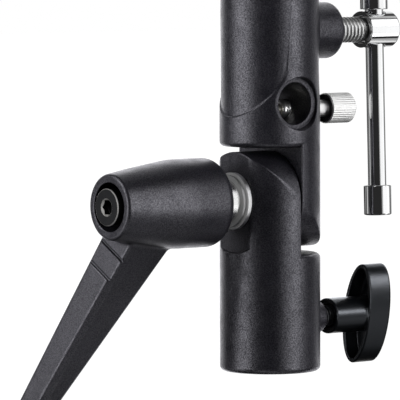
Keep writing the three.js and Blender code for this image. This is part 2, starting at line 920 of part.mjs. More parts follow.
const clampGroup = addTurnedGroup(clampRise, barLean);
addPiece(clampGroup, 'clamp_pad', makePad(backedOffReach, clampThread), brass);
addPiece(clampGroup, 'clamp_stud', makeStud(backedOffReach, clampThread, clampStudEnd), steel);
addPiece(clampGroup, 'clamp_head', makeClampHead(), chrome);
addPiece(clampGroup, 'tommy_bar', makeBar(), chrome);
addPiece(clampGroup, 'bar_cap_top', makeBarCap(barTopStart, 1), chrome);
addPiece(clampGroup, 'bar_cap_bottom', makeBarCap(barBottomStart, -1), chrome);

const thumbGroup = addTurnedGroup(thumbRise, 0);
addPiece(thumbGroup, 'thumb_pad', makePad(thumbTipReach, thumbThread), brass);
addPiece(thumbGroup, 'thumb_stud', makeStud(thumbTipReach, thumbThread, thumbStudEnd), steel);
addPiece(thumbGroup, 'thumb_head', makeThumbHead(), steel);

const knobGroup = addTurnedGroup(-knobDrop, knobTurn);
addPiece(knobGroup, 'stand_pad', makePad(backedOffReach, knobThread), brass);
addPiece(knobGroup, 'knob_stud', makeStud(backedOffReach, knobThread, knobStudEnd), blackSteel);
addPiece(knobGroup, 'stand_knob', makeKnob(), plastic);

export default adapter;
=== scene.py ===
"""Looks of the swivel bracket: fine shapes, finishes, studio and camera.

Shapes are built in millimetres about the tilt axis, as in the CAD source, and are moved to the
part's frame in metres when a mesh is made. The tilt axis is x, and the lever is on its low side.
"""

import json
import math

import bpy
import numpy as np
from mathutils import Matrix, Vector


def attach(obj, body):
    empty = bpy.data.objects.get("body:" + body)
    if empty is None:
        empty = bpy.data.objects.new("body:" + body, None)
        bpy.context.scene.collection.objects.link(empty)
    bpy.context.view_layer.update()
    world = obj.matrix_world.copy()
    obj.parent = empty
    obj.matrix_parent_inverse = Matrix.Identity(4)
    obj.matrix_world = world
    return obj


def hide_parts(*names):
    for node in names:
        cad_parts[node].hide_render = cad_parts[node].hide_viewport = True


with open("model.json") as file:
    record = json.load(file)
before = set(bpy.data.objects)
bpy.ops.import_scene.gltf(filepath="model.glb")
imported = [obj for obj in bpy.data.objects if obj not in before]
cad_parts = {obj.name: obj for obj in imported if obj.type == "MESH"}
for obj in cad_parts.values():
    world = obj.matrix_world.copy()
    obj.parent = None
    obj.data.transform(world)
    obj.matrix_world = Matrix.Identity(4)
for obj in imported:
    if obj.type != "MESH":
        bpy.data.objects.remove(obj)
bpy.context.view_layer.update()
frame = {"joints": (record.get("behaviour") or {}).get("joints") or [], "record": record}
SLOT_OF = {part["node"]: part["material_slot"] for part in frame["record"]["subparts"]}
BODY_OF = {node: body for body, nodes in frame["record"]["behaviour"]["bodies"].items() for node in nodes}
HINGE_AT = {joint["name"]: joint["pos_m"] for joint in frame["joints"] if "pos_m" in joint}

MM = 0.001
PIVOT = round(HINGE_AT["tilt"][2] / MM, 2)


def rise_of(hinge):
    """Height of a hinge above the tilt axis, in millimetres."""
    return round(HINGE_AT[hinge][2] / MM - PIVOT, 2)


CLAMP_RISE = rise_of("clamp_turn")
THUMB_RISE = rise_of("thumb_turn")
KNOB_RISE = rise_of("knob_turn")
UMBRELLA_RISE = 25.9
LEVER_TURN = math.radians(30)
BAR_LEAN = math.radians(-1.7)
KNOB_TURN = math.radians(10.5)
X, Z = 0, 2
ROOT_TWO = math.sqrt(2)
FULL_TURN = 2 * math.pi
TINY = 1e-6


# Distance fields


def round_and(a, b, radius=0.0):
    """The overlap of two fields, with a round on the edge between them."""
    corner = np.hypot(np.maximum(a + radius, 0), np.maximum(b + radius, 0))
    return np.minimum(np.maximum(a, b), -radius) + corner


def round_or(a, b, radius):
    """The union of two fields, with a fillet between them."""
    corner = np.hypot(np.maximum(radius - a, 0), np.maximum(radius - b, 0))
    return np.maximum(np.minimum(a, b), radius) - corner


def cut(a, b, radius=0.2):
    """Field a without b, with the edge of the cut rounded."""
    return round_and(a, -b, radius)


def rod(p, axis, radius, low, high, centre=(0.0, 0.0, 0.0), edge=0.0):
    """A round rod along one axis between two places on it."""
    q = p - np.array(centre)
    others = [i for i in range(3) if i != axis]
    across = np.hypot(q[:, others[0]], q[:, others[1]]) - radius
    return round_and(across, np.maximum(low - p[:, axis], p[:, axis] - high), edge)


def ellipse(u, v, half_u, half_v):
    """Distance to an ellipse, true to first order."""
    share = np.sqrt((u / half_u) ** 2 + (v / half_v) ** 2)
    slope = np.sqrt((u / half_u**2) ** 2 + (v / half_v**2) ** 2)
    return share * (share - 1) / np.maximum(slope, TINY)


def hexagon(u, v, flats):
    """Distance to a hexagon across its flats."""
    sides = [np.abs(u * math.cos(t) + v * math.sin(t)) for t in (math.pi / 6, math.pi / 2, -math.pi / 6)]
    return np.maximum.reduce(sides) - flats / 2


def bend(t, width):
    """Zero below zero and t above it, with a soft bend between."""
    return np.where(np.abs(t) < width, (t + width) ** 2 / (4 * width), np.maximum(t, 0))


def smooth(share):
    """An even step from 0 to 1 made soft at both ends."""
    return share * share * (3 - 2 * share)


def teeth_wave(turns):
    """From 1 at each whole turn to 0 half-way between two."""
    return np.abs(2 * (turns - np.floor(turns)) - 1)


# Castings

BODY = 13.5
TONGUE = 13.05
LAP_GAP = 0.15
LAP_EDGE = 0.3
CASTING_EDGE = 0.25
SHOULDER_ROUND = 1.4
SOCKET_RADIUS = 8.1
SOCKET_LEAD = 0.6
SOCKET_EDGE = 0.15
PIVOT_BORE = 4.25
BORE_EDGE = 0.3
OUTSIDE = 20
PAST_LAP = 2


def tongue_end(y, z):
    """Beyond the elliptical end of a tongue that comes from below."""
    return np.where(z > 0, ellipse(y, z, BODY, TONGUE), np.abs(y) - BODY)


def socket_cut(p, mouth, roof, out):
    """A stand socket from its mouth to its roof; out is the way the mouth faces along z."""
    z = p[:, Z]
    depth = (mouth - z) * out
    wall = np.hypot(p[:, 0], p[:, 1]) - SOCKET_RADIUS
    cone = (wall - (SOCKET_LEAD - depth)) / ROOT_TWO
    return np.maximum(np.minimum(wall, cone), (roof - z) * out)


LOWER_SHOULDER = -14.35
LOWER_ROOF = -17.5
NECK_RADIUS = 4.9
NECK_PLACE = 8.1
NECK_TAPER = 0.07
NECK_START = 5
NECK_END = 16.7
NECK_EDGE = 0.5
NECK_FILLET = 0.8
FLAT_PLACE = -12.05
FLAT_RADIUS = 13.9
FLAT_EDGE = 0.28
KNOB_BORE = 3.15
KNOB_BORE_EDGE = 0.35


def lower_body_field(p):
    """Socket below, tongue with its spot-faced flat above, and the knob's tapering boss."""
    x, y, z = p.T
    radial = np.hypot(x, y) - BODY
    shoulder = round_and(radial, z - LOWER_SHOULDER, SHOULDER_ROUND)
    lap = round_and(x + LAP_GAP, tongue_end(y, z), LAP_EDGE)
    body = np.minimum(shoulder, round_and(radial, lap, CASTING_EDGE))
    body = round_and(body, -PIVOT - z, SHOULDER_ROUND)
    neck = np.hypot(y, z - KNOB_RISE) - (NECK_RADIUS - NECK_TAPER * (x - NECK_PLACE))
    boss = np.maximum(round_and(neck, x - NECK_END, NECK_EDGE), NECK_START - x)
    body = round_or(body, boss, NECK_FILLET)
    body = cut(body, socket_cut(p, -PIVOT, LOWER_ROOF, -1), SOCKET_EDGE)
    flat = np.maximum(x - FLAT_PLACE, np.hypot(y, z) - FLAT_RADIUS)
    body = cut(body, flat, FLAT_EDGE)
    body = cut(body, rod(p, X, PIVOT_BORE, -OUTSIDE, PAST_LAP))
    return cut(body, rod(p, X, KNOB_BORE, 0, OUTSIDE, (0, 0, KNOB_RISE)), KNOB_BORE_EDGE)


UPPER_SHOULDER = 14.3
UPPER_TOP = 60
TOP_ROUND = 0.8
WAIST_START = 21
WAIST_LENGTH = 16
WAIST_DEPTH = 0.3
SKIN_RADIUS = 13.08
SKIN_RISE = 34.9
SKIN_HALF = 12.5
SKIN_STEP = 0.5
SKIN_SIDE_RADIUS = 13.2
SKIN_SIDE = math.asin(SKIN_HALF / SKIN_SIDE_RADIUS)
SKIN_LEAN = 0.11
SKIN_LEAN_RUN = 22
SKIN_FADE = 0.75
SKIN_FADE_START = 31
SKIN_FADE_RUN = 12


def upper_radius(z):
    """The upper casting narrows a little above the umbrella hole."""
    share = np.clip((z - WAIST_START) / WAIST_LENGTH, 0, 1)
    return BODY - WAIST_DEPTH * (1 - np.cos(math.pi * share)) / 2


def skin_radius(x, y, z):
    """The upper casting's radius, with the stepped skin on the lever side inside a U outline."""
    plain = upper_radius(z)
    across = np.abs(y) * plain / np.maximum(np.hypot(x, y), 1)
    above = np.clip((z - SKIN_RISE) / SKIN_LEAN_RUN, 0, 1)
    side = (np.abs(np.arctan2(across, -x)) - SKIN_SIDE - SKIN_LEAN * above) * BODY
    arc = np.hypot(across, z - SKIN_RISE) - SKIN_HALF
    outline = np.where((z > SKIN_RISE) | (x > 0), side, arc)
    share = np.clip(0.5 - outline / SKIN_STEP, 0, 1)
    fade = np.clip((z - SKIN_FADE_START) / SKIN_FADE_RUN, 0, 1)
    depth = (plain - SKIN_RADIUS) * (1 - SKIN_FADE * fade)
    return plain - depth * smooth(share)


UMBRELLA_RADIUS = 5.55
UMBRELLA_MOUTH = 10.4
UMBRELLA_LEAD = 0.2
LIP_RADIUS = 7
LIP_FLOOR = 10.6


def umbrella_cut(p):
    """The umbrella hole across the casting, with a counterbore at each mouth."""
    y = np.abs(p[:, 1])
    radial = np.hypot(p[:, 0], p[:, 2] - UMBRELLA_RISE)
    hole = radial - UMBRELLA_RADIUS - np.clip(y - UMBRELLA_MOUTH, 0, UMBRELLA_LEAD)
    return np.minimum(hole, round_and(radial - LIP_RADIUS, LIP_FLOOR - y))


BOSS_RADIUS = 7.6
BOSS_START = 5
BOSS_END = 20.5
BOSS_FILLET = 0.45
UPPER_ROOF = 33
CLAMP_BORE = 3.65
CLAMP_BORE_END = 22
THUMB_BORE = 2.65
THUMB_BORE_END = 16
PIVOT_BORE_END = 14
POCKET_FLATS = 13.3
POCKET_FLOOR = 5.6


def upper_body_field(p):
    """Tongue below, umbrella hole, clamp boss and socket above, and the bolt head's pocket."""
    x, y, z = p.T
    radial = np.hypot(x, y) - skin_radius(x, y, z)
    shoulder = round_and(radial, UPPER_SHOULDER - z, SHOULDER_ROUND)
    lap = round_and(LAP_GAP - x, tongue_end(y, -z), LAP_EDGE)
    body = np.minimum(shoulder, round_and(radial, lap, CASTING_EDGE))
    body = round_and(body, z - UPPER_TOP, TOP_ROUND)
    boss = rod(p, X, BOSS_RADIUS, BOSS_START, BOSS_END, (0, 0, CLAMP_RISE), SHOULDER_ROUND)
    body = round_or(body, boss, BOSS_FILLET)
    body = cut(body, socket_cut(p, UPPER_TOP, UPPER_ROOF, 1), SOCKET_EDGE)
    body = cut(body, umbrella_cut(p), BORE_EDGE)
    body = cut(body, rod(p, X, CLAMP_BORE, 0, CLAMP_BORE_END, (0, 0, CLAMP_RISE)), BORE_EDGE)
    body = cut(body, rod(p, X, THUMB_BORE, 0, THUMB_BORE_END, (0, 0, THUMB_RISE)), BORE_EDGE)
    body = cut(body, rod(p, X, PIVOT_BORE, -PAST_LAP, PIVOT_BORE_END))
    return cut(body, np.maximum(hexagon(z, y, POCKET_FLATS), POCKET_FLOOR - x), CASTING_EDGE)


# Ratchet lever

ARM_REACH = 77
ARM_PLACE = 46.2
ARM_LEAN = 14.63
ARM_DEPTH = 16
ARM_THINNING = 12.32
ARM_HALF = 6.2
ARM_NARROWING = 2.08
ARM_START = 4
ARM_EDGE = 0.12
ARM_TIP_ROUND = 1.45
OUTER_BEVEL = 1.4
INNER_BEVEL = 0.7
BEVEL_EDGE = 0.3
PAD_BEVEL = 0.35
GROOVE_REACHES = (13.3, 19.8)
GROOVE_HALF = 0.35
GROOVE_DEPTH = 0.55
GROOVE_EDGE = 0.1
GROOVE_END = 5.1


def arm_field(p):
    """The lever's arm, an octagon that narrows down its reach, with a pad near the hub."""
    x, y, z = p.T
    reach = -z
    share = reach / ARM_REACH
    outer = -(ARM_PLACE + ARM_LEAN * share) - x
    inner = x + ARM_PLACE + ARM_LEAN * share - (ARM_DEPTH - ARM_THINNING * share)
    side = np.abs(y) - (ARM_HALF - ARM_NARROWING * share)
    bevel = np.where((reach < GROOVE_REACHES[1]) & (y < 0), PAD_BEVEL, OUTER_BEVEL)
    arm = round_and(outer, side, ARM_EDGE)
    arm = round_and(arm, (outer + side + bevel) / ROOT_TWO, BEVEL_EDGE)
    arm = round_and(arm, inner, ARM_EDGE)
    arm = round_and(arm, (inner + side + INNER_BEVEL) / ROOT_TWO, BEVEL_EDGE)
    arm = round_and(arm, reach - ARM_REACH, ARM_TIP_ROUND)
    return np.maximum(arm, ARM_START - reach)


def groove_cut(p, reach):
    """A groove across the arm's outer face, short of its far edge."""
    x, y, z = p.T
    face = -(ARM_PLACE + ARM_LEAN * reach / ARM_REACH)
    slot = round_and(np.abs(z + reach) - GROOVE_HALF, x - face - GROOVE_DEPTH, GROOVE_EDGE)
    return np.maximum(slot, y - GROOVE_END)


HUB_RADIUS = 11.8
HUB_INNER = -20.5
HUB_OUTER = -54
HUB_INNER_ROUND = 2.6
HUB_OUTER_ROUND = 0.75
HUB_FILLET = 0.9
HUB_TAPERS = ((0.15, -34, 2.5), (0.0286, -47, 2))
HUB_SLOPE = 0.987
CORE_BORE = 6.15
CORE_BORE_END = -33.8
CORE_MOUTH = -15
CORE_BORE_EDGE = 0.3
RUNOUT = (-37.2, -36.5)
RUNOUT_EDGE = 0.1
TEETH = 20
TOOTH_ROOT = 5.2
TOOTH_DEPTH = 0.75
TOOTH_EDGE = 0.05
TEETH_RUN = (-36.9, -33.5)
LEDGE_BORE = 2.75
LEDGE_RUN = (-43, -35)
SPRING_BORE = 6.4
SPRING_BORE_RUN = (-60, -41)
SPRING_BORE_EDGE = 0.25


def lever_field(p):
    """Hub and arm, bored for the serrated core, the screw's shank, and its head and spring."""
    x, y, z = p.T
    radial = np.hypot(y, z)
    taper = sum(slope * bend(start - x, width) for slope, start, width in HUB_TAPERS)
    hub = round_and((radial - HUB_RADIUS + taper) * HUB_SLOPE, x - HUB_INNER, HUB_INNER_ROUND)
    hub = round_and(hub, HUB_OUTER - x, HUB_OUTER_ROUND)
    body = round_or(hub, arm_field(p), HUB_FILLET)
    for reach in GROOVE_REACHES:
        body = cut(body, groove_cut(p, reach), ARM_EDGE)
    body = cut(body, rod(p, X, CORE_BORE, CORE_BORE_END, CORE_MOUTH), CORE_BORE_EDGE)
    body = cut(body, rod(p, X, CORE_BORE, *RUNOUT), RUNOUT_EDGE)
    wave = teeth_wave(np.arctan2(z, y) * TEETH / FULL_TURN)
    teeth = radial - TOOTH_ROOT - TOOTH_DEPTH * wave
    run = np.maximum(TEETH_RUN[0] - x, x - TEETH_RUN[1])
    body = cut(body, np.maximum(teeth, run), TOOTH_EDGE)
    body = cut(body, rod(p, X, LEDGE_BORE, *LEDGE_RUN))
    return cut(body, rod(p, X, SPRING_BORE, *SPRING_BORE_RUN), SPRING_BORE_EDGE)


# Knob and screw heads

WING_HALVES = (5.55, 13.85)
WING_RUN = (30.4, 38.25)
WING_ROUNDS = (1.1, 0.45)
HOLLOW_HALVES = (4.25, 12.55)
HOLLOW_FLOOR = 34.8
HOLLOW_ROUND = 0.5
KNOB_HUB_RADIUS = 4.85
KNOB_HUB_RUN = (19.6, 35.2)
KNOB_HUB_ROUND = 0.5
KNOB_HUB_FILLET = 0.7
KNOB_MOUTH_RADIUS = 3.925
KNOB_MOUTH_END = 20.3
KNOB_MOUTH_EDGE = 0.15
KNOB_BORE_START = 10
KNOB_BORE_END = 27.7
KNOB_FLOOR_EDGE = 0.1


def knob_field(p):
    """An oval wing, hollow towards the bracket, on a round hub."""
    x, y, z = p.T
    wing = round_and(ellipse(y, z, *WING_HALVES), x - WING_RUN[1], WING_ROUNDS[0])
    wing = round_and(wing, WING_RUN[0] - x, WING_ROUNDS[1])
    hollow = round_and(ellipse(y, z, *HOLLOW_HALVES), x - HOLLOW_FLOOR, HOLLOW_ROUND)
    wing = cut(wing, hollow, BORE_EDGE)
    across = np.hypot(y, z) - KNOB_HUB_RADIUS
    hub = round_and(across, np.maximum(KNOB_HUB_RUN[0] - x, x - KNOB_HUB_RUN[1]), KNOB_HUB_ROUND)
    knob = round_or(wing, hub, KNOB_HUB_FILLET)
    knob = cut(knob, rod(p, X, KNOB_MOUTH_RADIUS, KNOB_BORE_START, KNOB_MOUTH_END), KNOB_MOUTH_EDGE)
    return cut(knob, rod(p, X, KNOB_BORE, KNOB_BORE_START, KNOB_BORE_END), KNOB_FLOOR_EDGE)


HEAD_RADIUS = 5.0
HEAD_RUN = (31.95, 42.3)
HEAD_NOSE_ROUND = 0.7
HEAD_INNER_ROUND = 0.15
BAR_PLACE = 36.85
BAR_BORE = 2.9
BAR_BORE_HALF = 9
BAR_BORE_EDGE = 0.22
HEAD_BORE_RUN = (25, 33.65)
HEAD_BORE_EDGE = 0.12


def clamp_head_field(p):
    """A round head with the bar's hole across it and the stud's bore in its inner end."""
    across = np.hypot(p[:, 1], p[:, 2]) - HEAD_RADIUS
    head = round_and(across, p[:, 0] - HEAD_RUN[1], HEAD_NOSE_ROUND)
    head = round_and(head, HEAD_RUN[0] - p[:, 0], HEAD_INNER_ROUND)
    hole = rod(p, Z, BAR_BORE, -BAR_BORE_HALF, BAR_BORE_HALF, (BAR_PLACE, 0, 0))
    head = cut(head, hole, BAR_BORE_EDGE)
    return cut(head, rod(p, X, CLAMP_BORE, *HEAD_BORE_RUN), HEAD_BORE_EDGE)


BOLT_FLATS = 13
BOLT_HEAD_RUN = (5.7, 10.7)
BOLT_HEAD_CONE = 6.6
BOLT_HEAD_EDGE = 0.1


def bolt_head_field(p):
    """A hexagon whose outer corners are turned to a cone."""
    x, y, z = p.T
    ends = np.maximum(BOLT_HEAD_RUN[0] - x, x - BOLT_HEAD_RUN[1])
    head = round_and(hexagon(z, y, BOLT_FLATS), ends, BOLT_HEAD_EDGE)
    cone = (np.hypot(y, z) - BOLT_HEAD_CONE + (x - BOLT_HEAD_RUN[1])) / ROOT_TWO
    return round_and(head, cone, BOLT_HEAD_EDGE)


SCREW_RADIUS = 4.9
SCREW_FACE = -54.8
SCREW_LEDGE = -51.8
SCREW_EDGE = 0.28
KEY_FLATS = 3.7
KEY_FLOOR = -52.8
KEY_CONE_RADIUS = 2.35
KEY_CONE_FLOOR = -53.6
KEY_EDGE = 0.06


def screw_head_field(p):
    """A round head with a hexagon socket whose mouth opens in a cone."""
    x, y, z = p.T
    head = rod(p, X, SCREW_RADIUS, SCREW_FACE, SCREW_LEDGE, edge=SCREW_EDGE)
    socket = np.maximum(hexagon(z, y, KEY_FLATS), x - KEY_FLOOR)
    cone = (np.hypot(y, z) - KEY_CONE_RADIUS + (x - SCREW_FACE)) / ROOT_TWO
    mouth = np.maximum(cone, x - KEY_CONE_FLOOR)
    return cut(head, np.minimum(socket, mouth), KEY_EDGE)


# Meshes from fields

BLOCK = 8
BLOCKS_AT_ONCE = 800
BLOCK_REACH = 1.5
SLOPE_STEP = 0.01
NORMAL_STEP = 0.03
PULLS = 3
LEAST_SLOPE = 0.05


def slope_of(field, points, step=SLOPE_STEP):
    """The field's gradient, by differences."""
    slopes = np.empty_like(points)
    for axis in range(3):
        shift = np.zeros(3)
        shift[axis] = step
        slopes[:, axis] = field(points + shift) - field(points - shift)
    return slopes / (2 * step)


def cells_of(counts):
    """Every index of a grid."""
    return np.stack(np.meshgrid(*map(np.arange, counts), indexing="ij"), -1).reshape(-1, 3)


def sample(field, low, counts, step):
    """Values on a grid: blocks away from the surface only get the value at their centre."""
    blocks = -(-counts // BLOCK)
    starts = cells_of(blocks) * BLOCK
    rough = field(low + step * (starts + (BLOCK - 1) / 2))
    values = rough.reshape(blocks)
    for axis in range(3):
        values = np.repeat(values, BLOCK, axis)
    near = starts[np.abs(rough) < BLOCK_REACH * step * BLOCK]
    cells = cells_of([BLOCK] * 3)
    for first in range(0, len(near), BLOCKS_AT_ONCE):
        some = near[first : first + BLOCKS_AT_ONCE]
        spots = (some[:, None] + cells).reshape(-1, 3)
        values[tuple(spots.T)] = field(low + step * spots)
    return values[: counts[0], : counts[1], : counts[2]]


def net(field, low, high, step):
    """Points, faces and normals of a field's zero surface, by a surface net."""
    low = np.array(low, float)
    counts = np.ceil((np.array(high, float) - low) / step).astype(int) + 1
    values = sample(field, low, counts, step)
    cells = counts - 1
    sums = np.zeros((int(np.prod(cells)), 3))
    hits = np.zeros(int(np.prod(cells)))
    quads = []
    for axis in range(3):
        moved = np.moveaxis(values, axis, 0)
        first, second = moved[:-1], moved[1:]
        crossing = (first < 0) != (second < 0)
        places = np.argwhere(crossing)
        a, b = first[crossing], second[crossing]
        others = [i for i in range(3) if i != axis]
        corner = np.empty_like(places)
        corner[:, [axis] + others] = places
        point = corner.astype(float)
        point[:, axis] += a / (a - b)
        ring = []
        for du, dv in ((1, 1), (0, 1), (0, 0), (1, 0)):
            cell = corner.copy()
            cell[:, others[0]] -= du
            cell[:, others[1]] -= dv
            index = np.ravel_multi_index(cell.T, cells)
            for k in range(3):
                sums[:, k] += np.bincount(index, point[:, k], len(hits))
            hits += np.bincount(index, minlength=len(hits))
            ring.append(index)
        quad = np.stack(ring, 1)
        outward = (a < 0) != (axis == 1)
        quad[~outward] = quad[~outward][:, ::-1]
        quads.append(quad)
    quads = np.concatenate(quads)
    used = np.flatnonzero(hits)
    place = np.full(len(hits), -1)
    place[used] = np.arange(len(used))
    points = low + step * sums[used] / hits[used][:, None]
    for _ in range(PULLS):
        pull_to_surface(field, points, step / 2)
    normals = slope_of(field, points, NORMAL_STEP)
    normals /= np.maximum(np.linalg.norm(normals, axis=1), TINY)[:, None]
    return points, place[quads], normals


def pull_to_surface(field, points, furthest):
    """Moves points along the field's slope to its zero surface, but not past a furthest way."""
    slopes = slope_of(field, points)
    size = np.maximum((slopes**2).sum(1), LEAST_SLOPE)
    move = slopes * (field(points) / size)[:, None]
    length = np.linalg.norm(move, axis=1)
    points -= move * np.minimum(1, furthest / np.maximum(length, TINY))[:, None]


def add_object(name, data):
    """A new object in the scene."""
    made = bpy.data.objects.new(name, data)
    bpy.context.scene.collection.objects.link(made)
    return made


def add_group(name, members):
    """A new collection, for lights that shine on it alone."""
    group = bpy.data.collections.new(name)
    bpy.context.scene.collection.children.link(group)
    for member in members:
        group.objects.link(member)
    return group


def turn_about_x(angle):
    c, s = math.cos(angle), math.sin(angle)
    return np.array([[1, 0, 0], [0, c, -s], [0, s, c]])


def make_mesh(name, points, faces, normals=None, rise=0.0, turn=0.0, sharp=None):
    """An object in metres in the part's frame, from points in millimetres in a turned group."""
    spin = turn_about_x(turn)
    placed = (points @ spin.T + np.array([0, 0, rise + PIVOT])) * MM
    mesh = bpy.data.meshes.new(name)
    mesh.from_pydata(placed.tolist(), [], [[int(i) for i in f] for f in faces])
    mesh.shade_smooth()
    if normals is not None:
        mesh.normals_split_custom_set_from_vertices((normals @ spin.T).tolist())
    if sharp is not None:
        mesh.set_sharp_from_angle(angle=math.radians(sharp))
    return add_object(name, mesh)


# Each carved form's field, the corners of the box that it is sampled in, and the grid's step
CARVED = {
    "lower": (lower_body_field, (-14.2, -14.2, -46.7), (17.4, 14.2, 13.8), 0.26),
    "upper": (upper_body_field, (-14.2, -14.2, -13.8), (21.2, 14.2, 60.7), 0.26),
    "bolt_head": (bolt_head_field, (5.2, -8, -8), (11.2, 8, 8), 0.2),
    "lever": (lever_field, (-61.4, -12.5, -77.6), (-19.9, 12.5, 12.5), 0.36),
    "screw_head": (screw_head_field, (-55.2, -5.4, -5.4), (-51.4, 5.4, 5.4), 0.11),
    "clamp_head": (clamp_head_field, (31.4, -5.4, -5.4), (42.8, 5.4, 5.4), 0.14),
    "knob": (knob_field, (19.1, -6, -14.4), (38.8, 6, 14.4), 0.24),
}


def carve(name, **place):
    """A mesh of a carved form."""
    points, faces, normals = net(*CARVED[name])
    return make_mesh(name, points, faces, normals, **place)


# Turned meshes

ON_AXIS = 0.05
ARC_STEPS = 6
TURNED_SHARP = 28
LARGE_SIDES = 96
STUD_SIDES = 72
SMALL_SIDES = 48
SIDES_A_TOOTH = 8
INNER_RADIUS = 1


def rounded(corners):
    """Points along an outline of [along, radius, rounding] corners; the ends stay sharp."""
    points = []
    for i, corner in enumerate(corners):
        here = np.array(corner[:2], float)
        radius = corner[2] if len(corner) > 2 else 0
        if radius == 0 or i in (0, len(corners) - 1):
            points.append(here)
            continue
        back = np.array(corners[i - 1][:2], float) - here
        ahead = np.array(corners[i + 1][:2], float) - here
        back /= np.linalg.norm(back)
        ahead /= np.linalg.norm(ahead)
        half = math.acos(np.clip(back @ ahead, -1, 1)) / 2
        start = here + back * radius / math.tan(half)
        end = here + ahead * radius / math.tan(half)
        middle = (back + ahead) / np.linalg.norm(back + ahead)
        centre = here + middle * radius / math.sin(half)
        for k in range(ARC_STEPS + 1):
            mix = (start - centre) * (1 - k / ARC_STEPS) + (end - centre) * k / ARC_STEPS
            points.append(centre + mix / np.linalg.norm(mix) * radius)
    return points


def refine(points, start, end, step):
    """More points between two places along the axis, on the outside of the outline."""
    fine = [points[0]]
    for here in points[1:]:
        last = fine[-1]
        low, high = min(last[0], here[0]), max(last[0], here[0])
        inside = low >= start - TINY and high <= end + TINY
        if high - low > step and inside and min(last[1], here[1]) > INNER_RADIUS:
            count = int(math.ceil((high - low) / step))
            fine += [last + (here - last) * k / count for k in range(1, count)]
        fine.append(here)
    return fine


def area_sign(outline, closed):
    """Positive where the faces of a turned outline point out."""
    ahead = np.roll(outline, -1, axis=0)
    areas = (ahead[:, 0] - outline[:, 0]) * (outline[:, 1] + ahead[:, 1]) / 2
    return areas.sum() if closed else areas[:-1].sum()


def tube_faces(rings, sides, closed=False):
    """Quads between rings of points, and flat ends unless the last ring joins the first."""
    faces = []
    for k in range(rings if closed else rings - 1):
        m = (k + 1) % rings
        for i in range(sides):
            j = (i + 1) % sides
            faces.append([k * sides + i, k * sides + j, m * sides + j, m * sides + i])
    if not closed:
        faces.append(list(range(sides))[::-1])
        faces.append(list(range((rings - 1) * sides, rings * sides)))
    return faces


def rod_outline(low, high, radius, low_edge=0, high_edge=0):
    """Corners of a plain rod for turned."""
    return [(low, ON_AXIS), (low, radius, low_edge), (high, radius, high_edge), (high, ON_AXIS)]


def turned(name, corners, axis, sides, closed=False, relief=None, fine=None, shift=(0, 0, 0), **place):
    """A solid of revolution about the x or z axis; relief changes radii by place and angle."""
    outline = rounded(corners)
    if fine:
        outline = refine(outline, *fine)
    outline = np.array(outline)
    along = np.repeat(outline[:, 0], sides)
    radius = np.repeat(outline[:, 1], sides)
    angle = np.tile(FULL_TURN * np.arange(sides) / sides, len(outline))
    if relief is not None:
        radius = relief(along, radius, angle)
    u, v = radius * np.cos(angle), radius * np.sin(angle)
    points = np.stack([along, u, v] if axis == X else [u, v, along], 1)
    faces = tube_faces(len(outline), sides, closed)
    piece = make_mesh(name, points + np.array(shift), faces, sharp=TURNED_SHARP, **place)
    if area_sign(outline, closed) < 0:
        piece.data.flip_normals()
    return piece


CREST_BAND = 0.02
FLANK_STEEPNESS = 1.5
FLANK_START = 0.4
KNURL_POWER = 1.5


def thread(pitch, depth, start, end, crest):
    """A relief that cuts a helical thread into a shank between two places."""

    def relief(along, radius, angle):
        wave = teeth_wave(along / pitch - angle / FULL_TURN)
        profile = smooth(np.clip(FLANK_STEEPNESS * wave - FLANK_START, 0, 1))
        fade = np.clip((along - start) / pitch, 0, 1) * np.clip((end - along) / pitch, 0, 1)
        on = (radius > crest - CREST_BAND) & (along > start) & (along < end)
        return np.where(on, radius - depth * profile * fade, radius)

    return relief


def flutes(count, depth, crest, low, high):
    """A relief of straight knurls along the axis."""

    def relief(along, radius, angle):
        wave = teeth_wave(angle * count / FULL_TURN) ** KNURL_POWER
        on = (radius > crest) & (along > low) & (along < high)
        return np.where(on, radius - depth * wave, radius)

    return relief


def joined(name, pieces):
    """One object from several meshes in the same frame."""
    with bpy.context.temp_override(
        active_object=pieces[0], object=pieces[0], selected_objects=pieces, selected_editable_objects=pieces
    ):
        bpy.ops.object.join()
    pieces[0].name = name
    return pieces[0]


# Finishes


MIX_FIRST, MIX_SECOND, MIX_RESULT = 6, 7, 2


def add_node(tree, kind, inputs, **settings):
    """A node whose inputs are set to values or linked to other nodes' outputs."""
    node = tree.nodes.new(kind)
    for key, value in settings.items():
        setattr(node, key, value)
    for key, value in inputs.items():
        if isinstance(value, bpy.types.NodeSocket):
            tree.links.new(value, node.inputs[key])
        else:
            node.inputs[key].default_value = value
    return node.outputs


